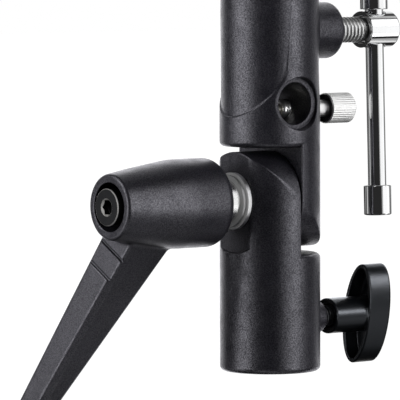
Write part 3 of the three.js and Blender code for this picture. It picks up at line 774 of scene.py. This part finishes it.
class Finish:
    """A small helper that lays out one procedural material."""

    def __init__(self, name, colour, metallic, roughness):
        self.material = bpy.data.materials.new(name)
        self.material.use_nodes = True
        self.tree = self.material.node_tree
        self.shader = self.tree.nodes["Principled BSDF"]
        self.shader.inputs["Base Color"].default_value = (*colour, 1)
        self.shader.inputs["Metallic"].default_value = metallic
        self.shader.inputs["Roughness"].default_value = roughness
        self.place = self.add("ShaderNodeTexCoord", {})["Object"]

    def add(self, kind, inputs, **settings):
        return add_node(self.tree, kind, inputs, **settings)

    def link(self, source, name):
        self.tree.links.new(source, self.shader.inputs[name])

    def noise(self, scale, detail, stretch=(1, 1, 1), rough=0.5):
        place = self.add("ShaderNodeMapping", {"Vector": self.place, "Scale": stretch})["Vector"]
        inputs = {"Vector": place, "Scale": scale, "Detail": detail, "Roughness": rough}
        return self.add("ShaderNodeTexNoise", inputs)["Fac"]

    def spots(self, scale):
        return self.add("ShaderNodeTexVoronoi", {"Vector": self.place, "Scale": scale})["Distance"]

    def ranged(self, value, source, target=(0, 1)):
        """The value mapped from one range to another and held inside it."""
        limits = zip(("From Min", "From Max", "To Min", "To Max"), (*source, *target))
        return self.add("ShaderNodeMapRange", {"Value": value, **dict(limits)})["Result"]

    def maths(self, operation, a, b):
        return self.add("ShaderNodeMath", {0: a, 1: b}, operation=operation)["Value"]

    def mixed(self, share, first, second):
        """A colour between two colours; each is a tuple or comes from a node."""
        first, second = ((*c, 1) if isinstance(c, tuple) else c for c in (first, second))
        inputs = {"Factor": share, MIX_FIRST: first, MIX_SECOND: second}
        return self.add("ShaderNodeMix", inputs, data_type="RGBA")[MIX_RESULT]

    def colour(self, value):
        self.link(value, "Base Color")

    def roughness(self, value):
        self.link(value, "Roughness")

    def bump(self, height, distance, strength):
        """A bump on top of those that the shader already has."""
        inputs = {"Strength": strength, "Distance": distance, "Height": height}
        last = self.shader.inputs["Normal"]
        if last.is_linked:
            inputs["Normal"] = last.links[0].from_socket
        self.link(self.add("ShaderNodeBump", inputs)["Normal"], "Normal")


MID = (0.3, 0.7)


def shade(tint, share):
    return tuple(share * c for c in tint)


def powder_coat(name, tint, roughness, grain, height):
    """A grainy coat: faint clouds, pale specks, fine and coarse bumps and an uneven shine."""
    finish = Finish(name, tint, 0.0, roughness)
    cloud = finish.noise(70, detail=4)
    fine = finish.noise(grain, detail=3, rough=0.6)
    base = finish.mixed(finish.ranged(cloud, MID), shade(tint, 0.72), shade(tint, 1.35))
    speck = finish.ranged(finish.spots(grain * 0.45), (0.0, 0.16), (1, 0))
    finish.colour(finish.mixed(finish.maths("MULTIPLY", speck, 0.35), base, shade(tint, 3.2)))
    worn = finish.ranged(finish.noise(240, detail=4), (0.3, 0.75), (-0.07, 0.08))
    grainy = finish.ranged(fine, MID, (-0.06, 0.06))
    finish.roughness(finish.maths("ADD", finish.maths("ADD", worn, grainy), roughness))
    finish.bump(fine, height, strength=0.9)
    finish.bump(finish.noise(grain * 0.3, detail=2), height * 1.6, strength=0.5)
    shine = finish.ranged(finish.noise(grain * 1.15, detail=1), (0.36, 0.64), (0.28, 0.76))
    finish.link(shine, "Specular IOR Level")
    return finish.material


def moulded_plastic(name, tint, roughness):
    """Smooth plastic with faint clouds and a very fine grain."""
    finish = Finish(name, tint, 0.0, roughness)
    cloud = finish.ranged(finish.noise(90, detail=4), MID)
    finish.colour(finish.mixed(cloud, shade(tint, 0.8), shade(tint, 1.3)))
    uneven = finish.ranged(finish.noise(600, detail=4), MID, (-0.025, 0.03))
    finish.roughness(finish.maths("ADD", uneven, roughness))
    finish.bump(finish.noise(3200, detail=3), 0.000008, strength=0.5)
    return finish.material


def plated(name, tint, roughness, stretch=(1, 1, 1), turning=0.0, wear=0.04, metallic=1.0):
    """Bright metal with smudges; a stretch along one axis draws turning marks around it."""
    finish = Finish(name, tint, metallic, roughness)
    smudge = finish.ranged(finish.noise(110, detail=5), (0.35, 0.75))
    finish.colour(finish.mixed(smudge, tint, shade(tint, 0.9)))
    marks = finish.noise(2600, detail=3, stretch=stretch)
    rough = finish.maths("ADD", finish.ranged(smudge, (0, 1), (0, wear)), roughness)
    finish.roughness(finish.maths("ADD", rough, finish.ranged(marks, (0.35, 0.7), (0, wear))))
    if turning > 0:
        finish.bump(marks, turning, strength=0.7)
    return finish.material


# Tint and roughness, then a coat's grain and bump, or a metal's stretch and marks
FINISHES = {
    "casting_paint": powder_coat("casting_paint", (0.0100, 0.0098, 0.0122), 0.38, 2600, 0.00004),
    "lever_paint": powder_coat("lever_paint", (0.0115, 0.0112, 0.0136), 0.38, 3000, 0.000026),
    "knob_plastic": moulded_plastic("knob_plastic", (0.0034, 0.0040, 0.0047), 0.3),
    "black_steel": plated("black_steel", (0.055, 0.056, 0.06), 0.34, (8, 1, 1), 0.000008),
    "satin_steel": plated("satin_steel", (0.74, 0.74, 0.745), 0.36, (12, 1, 1), 0.000004),
    "spring_steel": plated("spring_steel", (0.42, 0.42, 0.43), 0.3),
    "thread_steel": plated("thread_steel", (0.84, 0.84, 0.84), 0.34, (1, 1, 1), 0.000003),
    "mirror_chrome": plated("mirror_chrome", (0.86, 0.865, 0.87), 0.035, wear=0.02),
    "turned_chrome": plated("turned_chrome", (0.82, 0.825, 0.83), 0.1, (1, 1, 14), 0.000004),
    "knurled_nickel": plated("knurled_nickel", (0.96, 0.96, 0.955), 0.3),
    "tip_brass": plated("tip_brass", (0.8, 0.77, 0.7), 0.3, (12, 1, 1), 0.000005),
}
# Pale, partly diffuse steel for the retaining screw's rim and socket mouth: partly worn bare steel, partly
# a painted highlight for the edges' glint.
RIM_WEAR_AND_GLINT = plated("rim_wear_and_glint", (0.9, 0.89, 0.87), 0.4, metallic=0.3)
# Near-black metal for the thumb head's cup: painted shade and a painted dark reflection in the hollow.
CUP_PAINTED_SHADE = plated("cup_painted_shade", (0.03, 0.03, 0.032), 0.5)
WASHER_STEEL = plated("washer_steel", (0.42, 0.42, 0.425), 0.42)
# Pale, partly diffuse steel for the washers' faces towards the lever: a painted reflection standing in for
# the grey they mirror.
WASHER_FACE_PAINTED_REFLECTION = plated("washer_face_painted_reflection", (0.78, 0.78, 0.78), 0.42, metallic=0.3)
COLLAR_STEEL = plated("collar_steel", (0.8, 0.8, 0.795), 0.21)


# Pieces


def install(piece, node):
    """The piece takes a CAD node's place, body and finish."""
    piece.name = node + "_look"
    piece.data.materials.clear()
    piece.data.materials.append(FINISHES[SLOT_OF[node]])
    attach(piece, BODY_OF[node])
    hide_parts(node)
    return piece


def paint_faces(piece, material, chosen):
    """Gives another material to the faces whose centre, in millimetres, and normal pass a test."""
    piece.data.materials.append(material)
    index = len(piece.data.materials) - 1
    for face in piece.data.polygons:
        if chosen(face.center / MM, face.normal):
            face.material_index = index


def build_castings():
    install(carve("lower"), "lower_body")
    install(carve("upper"), "upper_body")


BOLT_RADIUS = 4
BOLT_SIDES = 64
BOLT_END = -32.6
BOLT_LEAD = 0.5
BOLT_ROOT = 5.9
BOLT_PITCH = 1.25
BOLT_DEPTH = 0.6
BOLT_THREAD_RUN = (-32.4, -12)
BOLT_FINE = (-33, -11, 0.14)
WASHERS = {"flat_washer": (-13.45, -12.15, 7.6), "thrust_washer": (-14.55, -13.55, 6.9)}
WASHER_SEAM = 5
WASHER_BORE = 4.3
WASHER_BORE_EDGE = 0.1
WASHER_EDGE = 0.28
LEVER_SIDE = -0.5


def build_pivot():
    """The bolt through both tongues, and the two washers on the lower casting's flat."""
    corners = rod_outline(BOLT_END, BOLT_ROOT, BOLT_RADIUS, low_edge=BOLT_LEAD)
    cutter = thread(BOLT_PITCH, BOLT_DEPTH, *BOLT_THREAD_RUN, BOLT_RADIUS)
    shank = turned("shank", corners, X, BOLT_SIDES, relief=cutter, fine=BOLT_FINE)
    install(joined("bolt", [shank, carve("bolt_head")]), "pivot_bolt")
    for node, (low, high, outer) in WASHERS.items():
        inside = [(low, WASHER_SEAM), (low, WASHER_BORE, WASHER_BORE_EDGE), (high, WASHER_BORE)]
        outside = [(high, outer, WASHER_EDGE), (low, outer, WASHER_EDGE)]
        washer = install(turned(node, inside + outside, X, LARGE_SIDES, closed=True), node)
        if node == "thrust_washer":
            paint_faces(washer, WASHER_STEEL, lambda centre, normal: True)
        # The faces towards the lever get a pale painted reflection in place of reflected light.
        paint_faces(washer, WASHER_FACE_PAINTED_REFLECTION, lambda centre, normal: normal.x < LEVER_SIDE)


CORE_RADIUS = 5.9
CORE_INNER = 4.2
CORE_ENDS = (-36.7, -14.65)
CORE_STEP = (-33.25, -33.15)
CORE_EDGES = (0.15, 0.45)
CORE_TOOTH_TIP = 5.75
CORE_BLANK = 5.7
SCREW_SHANK = 2.5
SCREW_SHANK_EDGE = 0.3
SCREW_SHANK_RUN = (-52, -32.8)
SCREW_RIM = 4.7
SCREW_RIM_PLACE = -54.5
SCREW_MOUTH = (1.75, 2.45)
SCREW_MOUTH_PLACE = -53.9
SLANTED = (0.3, 0.97)
CORE_TEETH_FOOT = 5.5
CORE_TEETH_END = -33.2
COLLAR_START = -33


def core_serrations(along, radius, angle):
    """A relief of teeth around the core's outer end."""
    on = (radius > CORE_TEETH_FOOT) & (along < CORE_TEETH_END)
    return np.where(on, CORE_TOOTH_TIP - TOOTH_DEPTH * teeth_wave(angle * TEETH / FULL_TURN), radius)


def is_screw_edge(centre, normal):
    """The retaining screw's rim and the cone at its socket's mouth, which are worn bare and also get a pale
    painted highlight.
    """
    from_axis = math.hypot(centre.y, centre.z - PIVOT)
    rim = from_axis > SCREW_RIM and centre.x < SCREW_RIM_PLACE
    slanted = centre.x < SCREW_MOUTH_PLACE and SLANTED[0] < abs(normal.x) < SLANTED[1]
    return rim or (slanted and SCREW_MOUTH[0] < from_axis < SCREW_MOUTH[1])


def build_lever():
    """The lever with its serrated core, retaining screw and spring."""
    place = {"turn": LEVER_TURN}
    install(carve("lever", **place), "ratchet_lever")
    corners = [
        (CORE_ENDS[0], CORE_INNER),
        (CORE_ENDS[0], CORE_BLANK),
        (CORE_STEP[0], CORE_BLANK),
        (CORE_STEP[1], CORE_RADIUS, CORE_EDGES[0]),
        (CORE_ENDS[1], CORE_RADIUS, CORE_EDGES[1]),
        (CORE_ENDS[1], CORE_INNER),
    ]
    core = turned("core", corners, X, TEETH * SIDES_A_TOOTH, closed=True, relief=core_serrations, **place)
    paint_faces(install(core, "lever_core"), COLLAR_STEEL, lambda centre, normal: centre.x > COLLAR_START)
    head = carve("screw_head", **place)
    corners = rod_outline(*SCREW_SHANK_RUN, SCREW_SHANK, high_edge=SCREW_SHANK_EDGE)
    shank = turned("screw_shank", corners, X, SMALL_SIDES, **place)
    screw = install(joined("retainer", [head, shank]), "retaining_screw")
    # The rim and socket mouth are painted pale: partly wear, partly painted highlight.
    paint_faces(screw, RIM_WEAR_AND_GLINT, is_screw_edge)
    install(build_spring(place), "lever_spring")


SPRING_TURNS = 6
SPRING_WIRE = 0.45
SPRING_RADIUS = 4.3
SPRING_START = -41.85
SPRING_LENGTH = 9.1
SPRING_STEPS = 32 * SPRING_TURNS
SPRING_SIDES = 10
SPRING_SHARP = 60
CLOSED_SHARE = 0.12
CLOSED_RISE = 0.06


def build_spring(place):
    """A coil with closed ends, between the hub's ledge and the screw's head."""
    share = np.linspace(0, 1, SPRING_STEPS + 1)
    eased = np.clip((share - CLOSED_SHARE) / (1 - 2 * CLOSED_SHARE), 0, 1)
    along = SPRING_START - SPRING_LENGTH * (CLOSED_RISE * share + (1 - CLOSED_RISE) * eased)
    angle = FULL_TURN * SPRING_TURNS * share
    middle = np.stack([along, SPRING_RADIUS * np.cos(angle), SPRING_RADIUS * np.sin(angle)], 1)
    out = np.stack([np.zeros_like(angle), np.cos(angle), np.sin(angle)], 1)
    side = np.array([1.0, 0, 0])
    points = []
    for k in range(SPRING_SIDES):
        t = FULL_TURN * k / SPRING_SIDES
        points.append(middle + SPRING_WIRE * (math.cos(t) * out + math.sin(t) * side))
    points = np.stack(points, 1).reshape(-1, 3)
    faces = [face[:1] + face[:0:-1] for face in tube_faces(SPRING_STEPS + 1, SPRING_SIDES)]
    return make_mesh("spring", points, faces, sharp=SPRING_SHARP, **place)


PAD_THICKNESS = 1.5
STEM_RADIUS = 1.1
STEM_LENGTH = 2.6
PAD_EDGES = (0.25, 0.2, 0.15)
STUD_START = 1.6
STUD_LEAD = 0.45
STUD_PLAIN = (0.2, 0.1)
STUD_HOLLOW = 1.25
HOLLOW_DEPTH = 2.7
STEPS_A_PITCH = 10


def build_screw(nodes, place, reach, pad, radius, end, pitch, depth, neck=(0, 0)):
    """A clamp screw's tip and its threaded stud, from the tip's face outwards."""
    build_pad(nodes[0], reach, pad, place)
    build_stud(nodes[1], reach + STUD_START, radius, end, pitch, depth, neck, place)


def build_pad(node, reach, radius, place):
    """A bearing tip: a disc with a stem that sits in its stud's hollow."""
    back = reach + PAD_THICKNESS
    end = back + STEM_LENGTH
    disc = [(reach, ON_AXIS), (reach, radius, PAD_EDGES[0]), (back, radius, PAD_EDGES[1])]
    stem = [(back, STEM_RADIUS), (end, STEM_RADIUS, PAD_EDGES[2]), (end, ON_AXIS)]
    install(turned(node, disc + stem, X, SMALL_SIDES, **place), node)


def build_stud(node, start, radius, end, pitch, depth, neck, place):
    """A threaded stud with a hollow for its tip's stem, and a plain neck between two places."""
    hollow = start + HOLLOW_DEPTH
    inside = [(hollow, ON_AXIS), (hollow, STUD_HOLLOW), (start, STUD_HOLLOW)]
    outside = [(start, radius - STUD_LEAD), (start + STUD_LEAD, radius), (end, radius), (end, ON_AXIS)]
    cutter = thread(pitch, depth, start + STUD_PLAIN[0], end - STUD_PLAIN[1], radius)

    def relief(along, out, angle):
        on = (out > radius - CREST_BAND) & (along > neck[0]) & (along < neck[1])
        return np.where(on, radius - depth, cutter(along, out, angle))

    fine = (start, end + 1, pitch / STEPS_A_PITCH)
    install(turned(node, inside + outside, X, STUD_SIDES, relief=relief, fine=fine, **place), node)


CLAMP_SIZES = {"reach": 8.5, "pad": 2.7, "radius": 3.5, "end": 33.55, "pitch": 1.25, "depth": 0.34}
CLAMP_NECK = (30.9, 33.6)
BAR_RADIUS = 2.65
BAR_ENDS = (-48.7, 11.55)
CAPS = {"bar_cap_top": (5.4, 1), "bar_cap_bottom": (-42.55, -1)}
CAP_RADIUS = 4
CAP_LENGTH = 8.25
CAP_EDGES = (0.35, 0.55)
CAP_BORE = 2.8
CAP_BORE_DEPTH = 6.25


def build_clamp():
    """The T-bar clamp screw: tip, stud, head, sliding bar and its two caps."""
    place = {"rise": CLAMP_RISE, "turn": BAR_LEAN}
    build_screw(("clamp_pad", "clamp_stud"), place, **CLAMP_SIZES, neck=CLAMP_NECK)
    install(carve("clamp_head", **place), "clamp_head")
    place["shift"] = (BAR_PLACE, 0, 0)
    install(turned("bar", rod_outline(*BAR_ENDS, BAR_RADIUS), Z, LARGE_SIDES, **place), "tommy_bar")
    for node, (start, direction) in CAPS.items():
        end = start + direction * CAP_LENGTH
        floor = start + direction * CAP_BORE_DEPTH
        inside = [(floor, ON_AXIS), (floor, CAP_BORE), (start, CAP_BORE)]
        outside = [(start, CAP_RADIUS, CAP_EDGES[0]), (end, CAP_RADIUS, CAP_EDGES[1]), (end, ON_AXIS)]
        install(turned(node, inside + outside, Z, LARGE_SIDES, **place), node)


THUMB_SIZES = {"reach": 1.45, "pad": 1.7, "radius": 2.5, "end": 23.8, "pitch": 0.8, "depth": 0.2}
THUMB_NECK = (13.4, 23.9)
THUMB_RADIUS = 4.15
THUMB_RUN = (18.8, 27.6)
THUMB_FINE = 0.8
THUMB_FACE_RADII = (3.85, 3.45)
THUMB_BAND = (19.1, 26.9)
CUP_FLOOR = 19.6
CUP_RADIUS = 3.35
CUP_MOUTH_RADIUS = 3.45
CUP_EDGES = (0.2, 0.1)
CUP_PLACE = 19.65
CUP_RIM = 3.95
THUMB_FLOOR = 23.9
KNURLS = 40
SIDES_A_KNURL = 10
KNURL_DEPTH = 0.1
KNURL_FOOT = 3.8
KNURL_RUN = (18.95, 27.5)


def is_cup(centre, normal):
    """The shallow hollow in the knurled head's inner face, which gets a near-black painted shade."""
    return centre.x < CUP_PLACE and math.hypot(centre.y, centre.z - PIVOT - THUMB_RISE) < CUP_RIM


def build_thumb():
    """The umbrella screw: tip, stud and knurled head."""
    place = {"rise": THUMB_RISE}
    build_screw(("thumb_pad", "thumb_stud"), place, **THUMB_SIZES, neck=THUMB_NECK)
    low, high = THUMB_RUN
    corners = [
        (THUMB_FLOOR, ON_AXIS),
        (THUMB_FLOOR, THUMB_BORE),
        (CUP_FLOOR, THUMB_BORE),
        (CUP_FLOOR, CUP_RADIUS, CUP_EDGES[0]),
        (low, CUP_MOUTH_RADIUS, CUP_EDGES[1]),
        (low, THUMB_FACE_RADII[0]),
        (THUMB_BAND[0], THUMB_RADIUS),
        (THUMB_BAND[1], THUMB_RADIUS),
        (high, THUMB_FACE_RADII[1]),
        (high, ON_AXIS),
    ]
    knurl = flutes(KNURLS, KNURL_DEPTH, KNURL_FOOT, *KNURL_RUN)
    fine = (low, high, THUMB_FINE)
    head = turned("thumb_head", corners, X, KNURLS * SIDES_A_KNURL, relief=knurl, fine=fine, **place)
    # The cup is painted near black as painted shade, standing in for the head's dark reflection of the
    # casting.
    paint_faces(install(head, "thumb_head"), CUP_PAINTED_SHADE, is_cup)


KNOB_SIZES = {"reach": 8.5, "pad": 2.2, "radius": 3, "end": 27.6, "pitch": 1, "depth": 0.4}


def build_knob():
    """The stand clamp: tip, stud and hollow oval knob."""
    place = {"rise": KNOB_RISE, "turn": KNOB_TURN}
    build_screw(("stand_pad", "knob_stud"), place, **KNOB_SIZES)
    install(carve("knob", **place), "stand_knob")


SPIGOT_RADIUS = 7.95
SPIGOT_FOOT = 33.3
SPIGOT_TOP = 68
FOOT_ROUND = 0.6
SPIGOT_WAIST = ((37.5, 7.95, 0.25), (38.8, 6.4, 0.3), (55.1, 6.4, 0.3), (56.4, 7.95, 0.25))
RIM_ROUND = 0.4
UNDERCUT_RADIUS = 3.55
SPIGOT_CREST = 4.4
SPIGOT_WAIST_END = 61.6
SPIGOT_BAND = (61.85, 67.6)
SPIGOT_TIP_RADIUS = 4
SPIGOT_PITCH = 1.5
SPIGOT_DEPTH = 0.75
SPIGOT_THREAD_RUN = (61.7, 67.9)
SPIGOT_FINE = (61.8, 68, 0.15)


def build_spigot():
    """The stud in the top socket: a waisted shank below a threaded end."""
    corners = [
        (SPIGOT_FOOT, ON_AXIS),
        (SPIGOT_FOOT, SPIGOT_RADIUS, FOOT_ROUND),
        *SPIGOT_WAIST,
        (UPPER_TOP, SPIGOT_RADIUS, RIM_ROUND),
        (UPPER_TOP, UNDERCUT_RADIUS),
        (SPIGOT_WAIST_END, UNDERCUT_RADIUS),
        (SPIGOT_BAND[0], SPIGOT_CREST),
        (SPIGOT_BAND[1], SPIGOT_CREST),
        (SPIGOT_TOP, SPIGOT_TIP_RADIUS),
        (SPIGOT_TOP, ON_AXIS),
    ]
    cutter = thread(SPIGOT_PITCH, SPIGOT_DEPTH, *SPIGOT_THREAD_RUN, SPIGOT_CREST)
    spigot = turned("spigot", corners, Z, LARGE_SIDES, relief=cutter, fine=SPIGOT_FINE)
    install(spigot, "spigot")


# Camera, fitted to the photograph's outlines

CAMERA_PLACE = Vector((-0.660658, -0.808789, 0.110325))
CAMERA_BACK = Vector((-0.61743204, -0.78420129, 0.06169284)).normalized()
CAMERA_HEADING = 38.215
CAMERA_ROLL = -0.156
FOCAL_PIXELS = 3900.5
FRAME_PIXELS = 400
SENSOR = 36
CLIP = (0.05, 50)


def place_camera():
    a = math.radians(CAMERA_HEADING)
    flat = Vector((math.cos(a), -math.sin(a), 0))
    up = CAMERA_BACK.cross(flat)
    roll = math.radians(CAMERA_ROLL)
    right = math.cos(roll) * flat + math.sin(roll) * up
    top = CAMERA_BACK.cross(right)
    data = bpy.data.cameras.new("camera")
    data.sensor_width = SENSOR
    data.lens = FOCAL_PIXELS / FRAME_PIXELS * SENSOR
    data.clip_start, data.clip_end = CLIP
    camera = add_object("camera", data)
    spin = Matrix((right, top, CAMERA_BACK)).transposed()
    camera.matrix_world = Matrix.Translation(CAMERA_PLACE) @ spin.to_4x4()
    bpy.context.scene.camera = camera


# Studio


def towards(bearing, height):
    """A direction from the part; a bearing is counted from the camera towards its right."""
    a = math.radians(CAMERA_HEADING)
    front = Vector((-math.sin(a), -math.cos(a), 0))
    right = Vector((math.cos(a), -math.sin(a), 0))
    b, h = math.radians(bearing), math.radians(height)
    return (front * math.cos(b) + right * math.sin(b)) * math.cos(h) + Vector((0, 0, math.sin(h)))


# Soft boxes as bearing and height, width and tall side unless they are the usual ones, all in
# degrees as seen from the part, and watts
USUAL_SIDES = (20, 30)
LIGHTS = {
    "coats": (
        (60, 0, 4.1), (58, -2, 44, 44, 1.9), (40, 0, 1.6), (60, 30, 4.2), (-80, 0, 3.4), (-60, 0, 3.5),
        (-56, 0, 48, 40, 1.7), (-80, 30, 5.4), (-60, 30, 1.4), (-100, 30, 0.3), (-80, -30, 1.6),
        (-104, -27, 20, 24, 0.5), (-170, 30, 40, 30, 2.2), (-140, 30, 0.4), (145, 30, 30, 30, 2.2),
        (140, -30, 1.8), (170, -30, 40, 30, 1.1), (-160, -30, 1.4), (150, 0, 40, 30, 1.3),
        (-165, 0, 30, 30, 1.3), (-140, 0, 0.5), (30, -60, 60, 30, 1.2), (-30, -60, 60, 30, 0.75),
        (-20, -40, 40, 28, 1.1), (90, -60, 60, 30, 0.5), (160, -60, 60, 30, 0.3),
        (150, 60, 60, 30, 0.6), (80, 0, 0.4), (60, -30, 0.8), (80, 30, 0.6), (115, 0, 30, 30, 0.3),
    ),
    "knob": (
        (81, 14, 24, 14, 4.2), (60, 30, 2.0), (60, -10, 40, 50, 2.0), (90, -30, 40, 30, 0.5),
        (-20, 0, 4.2), (20, 0, 2.8), (-80, 0, 3.0), (140, 30, 2.6), (-175, 20, 50, 40, 5.0),
    ),
    "screw": (
        (10, 10, 40, 40, 5.0), (-60, 30, 30, 30, 1.6), (-104, -3, 20, 20, 0.4),
    ),
    "metals": (
        (40, 0, 10, 30, 0.17), (65, 0, 40, 30, 1.95), (95, 0, 1.05), (90, 30, 30, 30, 1.5),
        (80, -30, 1.3), (60, 30, 1.5), (110, 0, 10, 30, 0.2), (110, -30, 0.3), (130, 0, 10, 30, 0.12),
        (-90, 0, 10, 30, 0.24), (-80, 0, 10, 30, 0.12), (-110, 0, 10, 30, 0.12), (-20, 30, 0.8),
        (120, -60, 30, 30, 0.54), (120, 60, 30, 30, 0.3), (60, 80, 170, 30, 0.35),
        (-145, 10, 16, 50, 0.5),
    ),
}
TIP_LIGHT = (34, 4, 24, 36, 8.0)
WASHER_LIGHT = (0, 10, 60, 60, 8.0)
LIGHT_DISTANCE = 1.2
LIGHT_AIM = Vector((0, 0, 0.05))
COATED = ("ratchet_lever", "lower_body", "upper_body")
LIT_BY = {**dict.fromkeys(COATED, "coats"), "stand_knob": "knob", "retaining_screw": "screw"}
LIGHT_TINTS = {"coats": (0.975, 0.962, 1.06), "knob": (0.94, 0.984, 1.075)}
WHITE = (1, 1, 1)


def gather(name, nodes):
    return add_group(name, [bpy.data.objects[node + "_look"] for node in nodes])


def add_light(name, place, group, tint=WHITE):
    """A soft box that shines on one collection only and that the camera does not see."""
    bearing, height, *sides, watts = place
    wide, tall = sides or USUAL_SIDES
    data = bpy.data.lights.new(name, "AREA")
    data.shape = "RECTANGLE"
    across = math.radians(wide * math.cos(math.radians(height)))
    data.size = 2 * LIGHT_DISTANCE * math.tan(across / 2)
    data.size_y = 2 * LIGHT_DISTANCE * math.tan(math.radians(tall) / 2)
    data.energy = watts
    data.color = tint
    light = add_object(name, data)
    aim = towards(bearing, height)
    light.location = LIGHT_AIM + aim * LIGHT_DISTANCE
    light.rotation_euler = aim.to_track_quat("Z", "Y").to_euler()
    light.visible_camera = False
    light.light_linking.receiver_collection = group


def light_studio():
    for name, places in LIGHTS.items():
        group = gather(name, [node for node in SLOT_OF if LIT_BY.get(node, "metals") == name])
        for index, place in enumerate(places):
            add_light(f"{name}_light_{index}", place, group, LIGHT_TINTS.get(name, WHITE))
    add_light("tip_light", TIP_LIGHT, gather("tip", ["thumb_stud", "thumb_pad"]))
    add_light("washer_light", WASHER_LIGHT, gather("washers", WASHERS))
    bpy.context.scene.view_settings.view_transform = "Standard"


FLOOR_HALF = 6.0
FLOOR_HEIGHT = -0.05
FLOOR_GLOW = 0.45
SUN_STRENGTH = 2.7
SUN_WIDTH = 40
SUN_PLACE = (35, 62)


def add_floor():
    """A pale floor with a soft shadow, left out of the part's reflections."""
    mesh = bpy.data.meshes.new("floor")
    signs = ((-1, -1), (1, -1), (1, 1), (-1, 1))
    corners = [(FLOOR_HALF * across, FLOOR_HALF * along, FLOOR_HEIGHT) for across, along in signs]
    mesh.from_pydata(corners, [], [(0, 1, 2, 3)])
    floor = add_object("floor", mesh)
    finish = Finish("floor", (0.8, 0.8, 0.8), 0.0, 0.9)
    finish.shader.inputs["Specular IOR Level"].default_value = 0.0
    finish.shader.inputs["Emission Color"].default_value = (*WHITE, 1)
    finish.shader.inputs["Emission Strength"].default_value = FLOOR_GLOW
    finish.colour(finish.mixed(finish.noise(3, detail=3), (0.79, 0.79, 0.79), (0.83, 0.83, 0.83)))
    finish.roughness(finish.ranged(finish.noise(40, detail=3), MID, (0.8, 0.95)))
    finish.bump(finish.noise(400, detail=3), 0.0001, strength=0.2)
    mesh.materials.append(finish.material)
    floor.visible_glossy = False
    floor.visible_diffuse = False
    data = bpy.data.lights.new("floor_sun", "SUN")
    data.energy = SUN_STRENGTH
    data.angle = math.radians(SUN_WIDTH)
    sun = add_object("floor_sun", data)
    sun.rotation_euler = towards(*SUN_PLACE).to_track_quat("Z", "Y").to_euler()
    sun.light_linking.receiver_collection = add_group("ground", [floor])


BACKDROP_RISE = 5.0
BACKDROP_EDGE = (52.0, 28.0)
ROOM_GLOW = 0.024
WHITE_GLOW = 1.0


def set_world():
    """White to the camera; in reflections a white backdrop behind the part and a faint glow."""
    world = bpy.data.worlds.new("studio")
    bpy.context.scene.world = world
    world.use_nodes = True
    tree = world.node_tree
    tree.nodes.clear()
    path = add_node(tree, "ShaderNodeLightPath", {})
    place = add_node(tree, "ShaderNodeTexCoord", {})["Generated"]
    aim = {0: place, 1: towards(180, BACKDROP_RISE)}
    behind = add_node(tree, "ShaderNodeVectorMath", aim, operation="DOT_PRODUCT")["Value"]
    edge = {"Value": behind}
    for name, angle in zip(("From Min", "From Max"), BACKDROP_EDGE):
        edge[name] = math.cos(math.radians(angle))
    backdrop = add_node(tree, "ShaderNodeMapRange", edge, interpolation_type="SMOOTHSTEP")["Result"]
    rays = {0: path["Is Glossy Ray"], 1: path["Is Transmission Ray"]}
    seen = add_node(tree, "ShaderNodeMath", rays, operation="MAXIMUM")["Value"]
    shown = add_node(tree, "ShaderNodeMath", {0: seen, 1: backdrop}, operation="MULTIPLY")["Value"]
    whiter = {0: shown, 1: path["Is Camera Ray"]}
    share = add_node(tree, "ShaderNodeMath", whiter, operation="MAXIMUM")["Value"]
    glow, white = (
        add_node(tree, "ShaderNodeBackground", {"Color": (*WHITE, 1), "Strength": strength})["Background"]
        for strength in (ROOM_GLOW, WHITE_GLOW)
    )
    mix = add_node(tree, "ShaderNodeMixShader", {0: share, 1: glow, 2: white})["Shader"]
    add_node(tree, "ShaderNodeOutputWorld", {"Surface": mix})


build_castings()
build_pivot()
build_lever()
build_clamp()
build_thumb()
build_knob()
build_spigot()
place_camera()
set_world()
add_floor()
light_studio()
